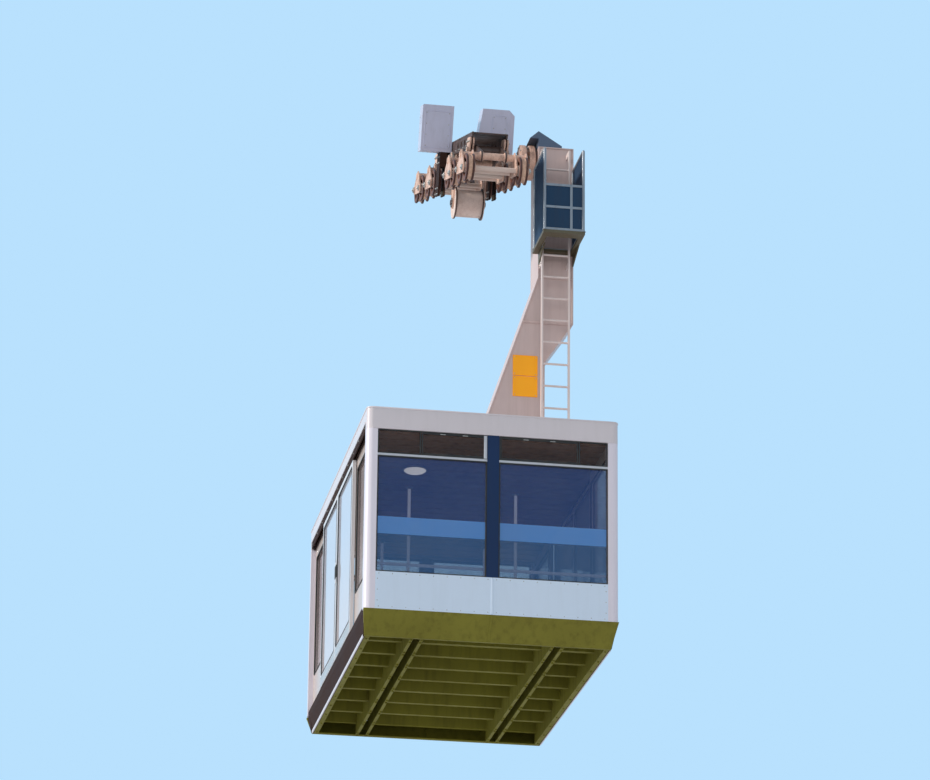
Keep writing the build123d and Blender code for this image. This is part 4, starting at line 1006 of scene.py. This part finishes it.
piece("brake_shoes", shoes, bronze, "carriage", on_line)
piece("brake_bolts", brake_bolts, zinc, "carriage", on_line)
HOUSING_MID = 0.800
panel_edge = rounded(0.014, 0.010, 0.004)
louvre = rounded(0.006, 0.012, 0.0025)
screw_n = HOUSING_MID + np.array((-0.210, -0.070, 0.070, 0.210))
housing_trim = []
housing_screws = []
for low, high in ((-0.620, -0.244), (0.244, 0.482)):
    panel_size = (high - low - 0.05, 0.470)
    for s, way in ((0.110, -Y), (0.350, Y)):
        middle = ((low + high) / 2, s, HOUSING_MID)
        housing_trim.append(frame_strip(panel_edge, middle, panel_size, 0.030, X, Z, way))
        housing_screws.append(spread(rivet(0.014, way), (low + 0.045, high - 0.045), s, screw_n))
for x, way in ((-0.632, -X), (0.552, X)):
    slot = carried(louvre, (x, (0.160, 0.300), 0.0), X, Z)
    housing_trim.append(spread(slot, 0, 0, (0.880, 0.910, 0.940, 0.970)))
    housing_screws.append(spread(rivet(0.014, way), x, (0.135, 0.325), (0.560, 0.760, 0.960)))
piece("housing_pressings", housing_trim, housing_paint, "carriage", on_line)
piece("housing_screws", housing_screws, zinc, "carriage", on_line)


# Rockers: welded beams that share the load between two bogies, with a keeper plate on each trunnion
# Collars on their tubes keep the bogies in place. Three bolts hold each keeper.

ROCKER_N = 0.431
BOGIE_N = 0.331
keeper = [(-0.001, 0.044), (0.006, 0.044), (0.009, 0.040)]
tube_collar = [(0.0, 0.062), (0.006, 0.061), (0.010, 0.056), (0.010, 0.0465)]
for key, s in (("lower", -BRACKET_S), ("upper", BRACKET_S)):
    body = "rocker_" + key
    dress(dark_oxide_and_shade, body)
    keepers = []
    keeper_bolts = []
    for side in BOTH:
        keepers.append(turned(keeper, (side * 0.255, s, ROCKER_N), side * X))
        keeper_bolts.append(ring_of(0.017, 3, 0.026, (side * 0.263, s, ROCKER_N), side * X))
        for reach in (-0.500, 0.500):
            for face, way in ((0.160, side), (0.140, -side)):
                keepers.append(turned(tube_collar, (side * face, s + reach, BOGIE_N), way * X))
    piece("rocker_keepers_" + key, keepers, primer, body, on_line)
    piece("rocker_bolts_" + key, keeper_bolts, zinc, body, on_line)


# Bogies and wheels: cast iron wheels with a worn lining in the groove, on axles held by nuts
# Each plate has a turned boss round each of its two axles, and the pivot tube ends in a cap.

def wheel_iron(name, centre):
    """Cast iron, rust brown outside its hub and darker at its flanges: the colour goes by the radius."""
    paint = Paint(name)
    along, above = paint.axis(1, centre), paint.axis(2, centre)
    radius = (along * along + above * above).math("SQRT")
    rust = paint.noise(14.0, 5.0)
    # Beyond 0.158 m the flanges turn darker, slightly metallic and smoother.
    flange_band = radius.over(0.158, 0.016) * (rust.over(0.45, 0.3) * 0.4 + 0.6)
    red = paint.mix(rust.over(0.48, 0.35), (0.27, 0.115, 0.075), (0.095, 0.040, 0.030))
    hub = radius.over(0.066, 0.006)
    paint.set(Base_Color=paint.mix(flange_band, paint.mix(hub, (0.70, 0.56, 0.49), red), (0.070, 0.028, 0.024)))
    paint.set(Metallic=flange_band * 0.15, Roughness=0.6 - flange_band * 0.12 + rust * 0.1)
    return paint.bump(paint.noise(45.0, 3.0), 0.35, 0.001)


lining = clouded("groove_lining", "wheel_iron", 25.0, (0.78, 0.54, 0.41), (0.50, 0.31, 0.22), 0.6, 0.2)
lining.bump(lining.noise(25.0, 4.0), 0.3, 0.001)
WHEEL_N = 0.163
NUT_X = 0.413
BOSS_X = 0.406
AXLES = (-0.220, 0.220)
boss = [(0.0, 0.050), (0.003, 0.050), (0.0045, 0.046), (0.0045, 0.0315), (0.0, 0.0315)]
pivot_cap = [(-0.001, 0.040), (0.005, 0.040), (0.008, 0.036)]
axle_nut = [(-0.001, 0.034), (0.012, 0.034), (0.015, 0.030)]
axle_end = [(0.0, 0.016), (0.024, 0.016), (0.027, 0.013)]
across = np.linspace(-0.024, 0.024, 9)
depth = 0.1405 + 0.030 * (across / 0.032) ** 2
groove = np.concatenate((np.stack((across, depth + 0.0025), axis=-1),
                         np.stack((across[::-1], depth[::-1] - 0.002), axis=-1)))
for key, s in (("1", -1.830), ("2", -0.830), ("3", 0.830), ("4", 1.830)):
    body = "bogie_" + key
    dress(primer, body)
    bosses = []
    for side in BOTH:
        for axle in AXLES:
            for face, way in ((BOSS_X, side), (0.254, -side)):
                bosses.append(turned(boss, (side * face, s + axle, WHEEL_N), way * X, 28, hollow=True))
        bosses.append(turned(pivot_cap, (side * NUT_X, s, BOGIE_N), side * X))
        bosses.append(turned([(0.0, 0.056), (0.006, 0.046)], (side * BOSS_X, s, BOGIE_N), side * X))
    piece("bogie_bosses_" + key, bosses, primer, body, on_line)
    for letter, axle in zip("ab", AXLES):
        body = "wheelset_" + key + letter
        centre = on_line(np.array([(0.0, s + axle, WHEEL_N)]))[0]
        dress(wheel_iron("wheel_iron_" + key + letter, tuple(centre)), body)
        linings = []
        nuts = []
        for side in BOTH:
            linings.append(turned(groove, (side * ROPE_X, s + axle, WHEEL_N), X, 56, hollow=True))
            nuts.append(turned(axle_nut, (side * NUT_X, s + axle, WHEEL_N), side * X, 12, HEXAGON))
            nuts.append(turned(axle_end, (side * NUT_X, s + axle, WHEEL_N), side * X, 20))
            for face in BOTH:
                hub_face = (side * ROPE_X + face * 0.050, s + axle, WHEEL_N)
                nuts.append(ring_of(0.014, 6, 0.052, hub_face, face * X))
        piece("groove_lining_" + key + letter, linings, lining, body, on_line)
        piece("axle_nuts_" + key + letter, nuts, zinc, body, on_line)


# The stand, the light and the camera
# The car hangs in the air, far above a pale floor. The camera stands at floor level, below and in
# front of it, turned to the car and with a long lens, so that the car fills the picture's height.

ROOF_CENTRE = Vector((-0.110, -0.139, -3.870))
CAMERA_FROM_ROOF = Vector((-7.76, -47.30, -15.86))
AIM_FROM_ROOF = Vector((0.08, 0.05, 1.20))
PHOTO_LENS = 50.3
PHOTO_ROLL = math.radians(-0.63)
ZOOM = 3.15

camera_data = bpy.data.cameras.new("photo_camera")
camera_data.sensor_width = 36.0
camera_data.lens = PHOTO_LENS * ZOOM
camera_data.clip_end = 500.0
camera = linked("photo_camera", camera_data)
camera.location = ROOF_CENTRE + CAMERA_FROM_ROOF
toward = (ROOF_CENTRE + AIM_FROM_ROOF - camera.location).normalized()
camera.rotation_euler = toward.to_track_quat("-Z", "Y").to_euler()
camera.rotation_euler.rotate_axis("Z", -PHOTO_ROLL)
bpy.context.scene.camera = camera
bpy.context.scene.view_settings.view_transform = "Standard"

FLOOR_DROP = 0.12
FLOOR_HALF = 150.0
floor_z = camera.location.z - FLOOR_DROP
floor_mesh = bpy.data.meshes.new("floor")
corners = [(a * FLOOR_HALF, b * FLOOR_HALF, floor_z) for a, b in QUARTERS]
floor_mesh.from_pydata(corners, [], [(0, 2, 3, 1)])
floor = linked("floor", floor_mesh)
floor_colour = Paint("pale_floor").set(Base_Color=(0.72, 0.74, 0.76, 1.0), Roughness=0.9)
floor_mesh.materials.append(floor_colour.material)
floor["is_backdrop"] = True

SKY = (0.485, 0.752, 0.990, 1.0)
SOFT_LIGHT = (0.86, 0.92, 1.0, 1.0)
world = bpy.data.worlds.new("studio")
bpy.context.scene.world = world
world.use_nodes = True
tree = world.node_tree
ambient = tree.nodes["Background"]
ambient.inputs["Color"].default_value = SOFT_LIGHT
ambient.inputs["Strength"].default_value = 0.42
seen = tree.nodes.new("ShaderNodeBackground")
seen.inputs["Color"].default_value = SKY
path = tree.nodes.new("ShaderNodeLightPath")
share = Wire(tree, path.outputs["Is Camera Ray"])
for ray in ("Is Glossy Ray", "Is Transmission Ray"):
    share = share.math("MAXIMUM", Wire(tree, path.outputs[ray]))
blend = tree.nodes.new("ShaderNodeMixShader")
for socket, slot in zip((share.socket, ambient.outputs[0], seen.outputs[0]), blend.inputs):
    tree.links.new(socket, slot)
tree.links.new(blend.outputs[0], tree.nodes["World Output"].inputs["Surface"])


def lamp(name, energy, colour, travel, spread_angle):
    """A soft sun whose light goes the given way."""
    data = bpy.data.lights.new(name, "SUN")
    data.energy = energy
    data.color = colour
    data.angle = math.radians(spread_angle)
    linked(name, data).rotation_euler = Vector(travel).to_track_quat("-Z", "Y").to_euler()


lamp("key", 2.60, (1.0, 0.94, 0.87), (0.90, 0.02, -0.42), 8)
lamp("fill", 0.52, (1.0, 0.93, 0.86), (0.25, 0.95, -0.10), 45)

low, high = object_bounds()
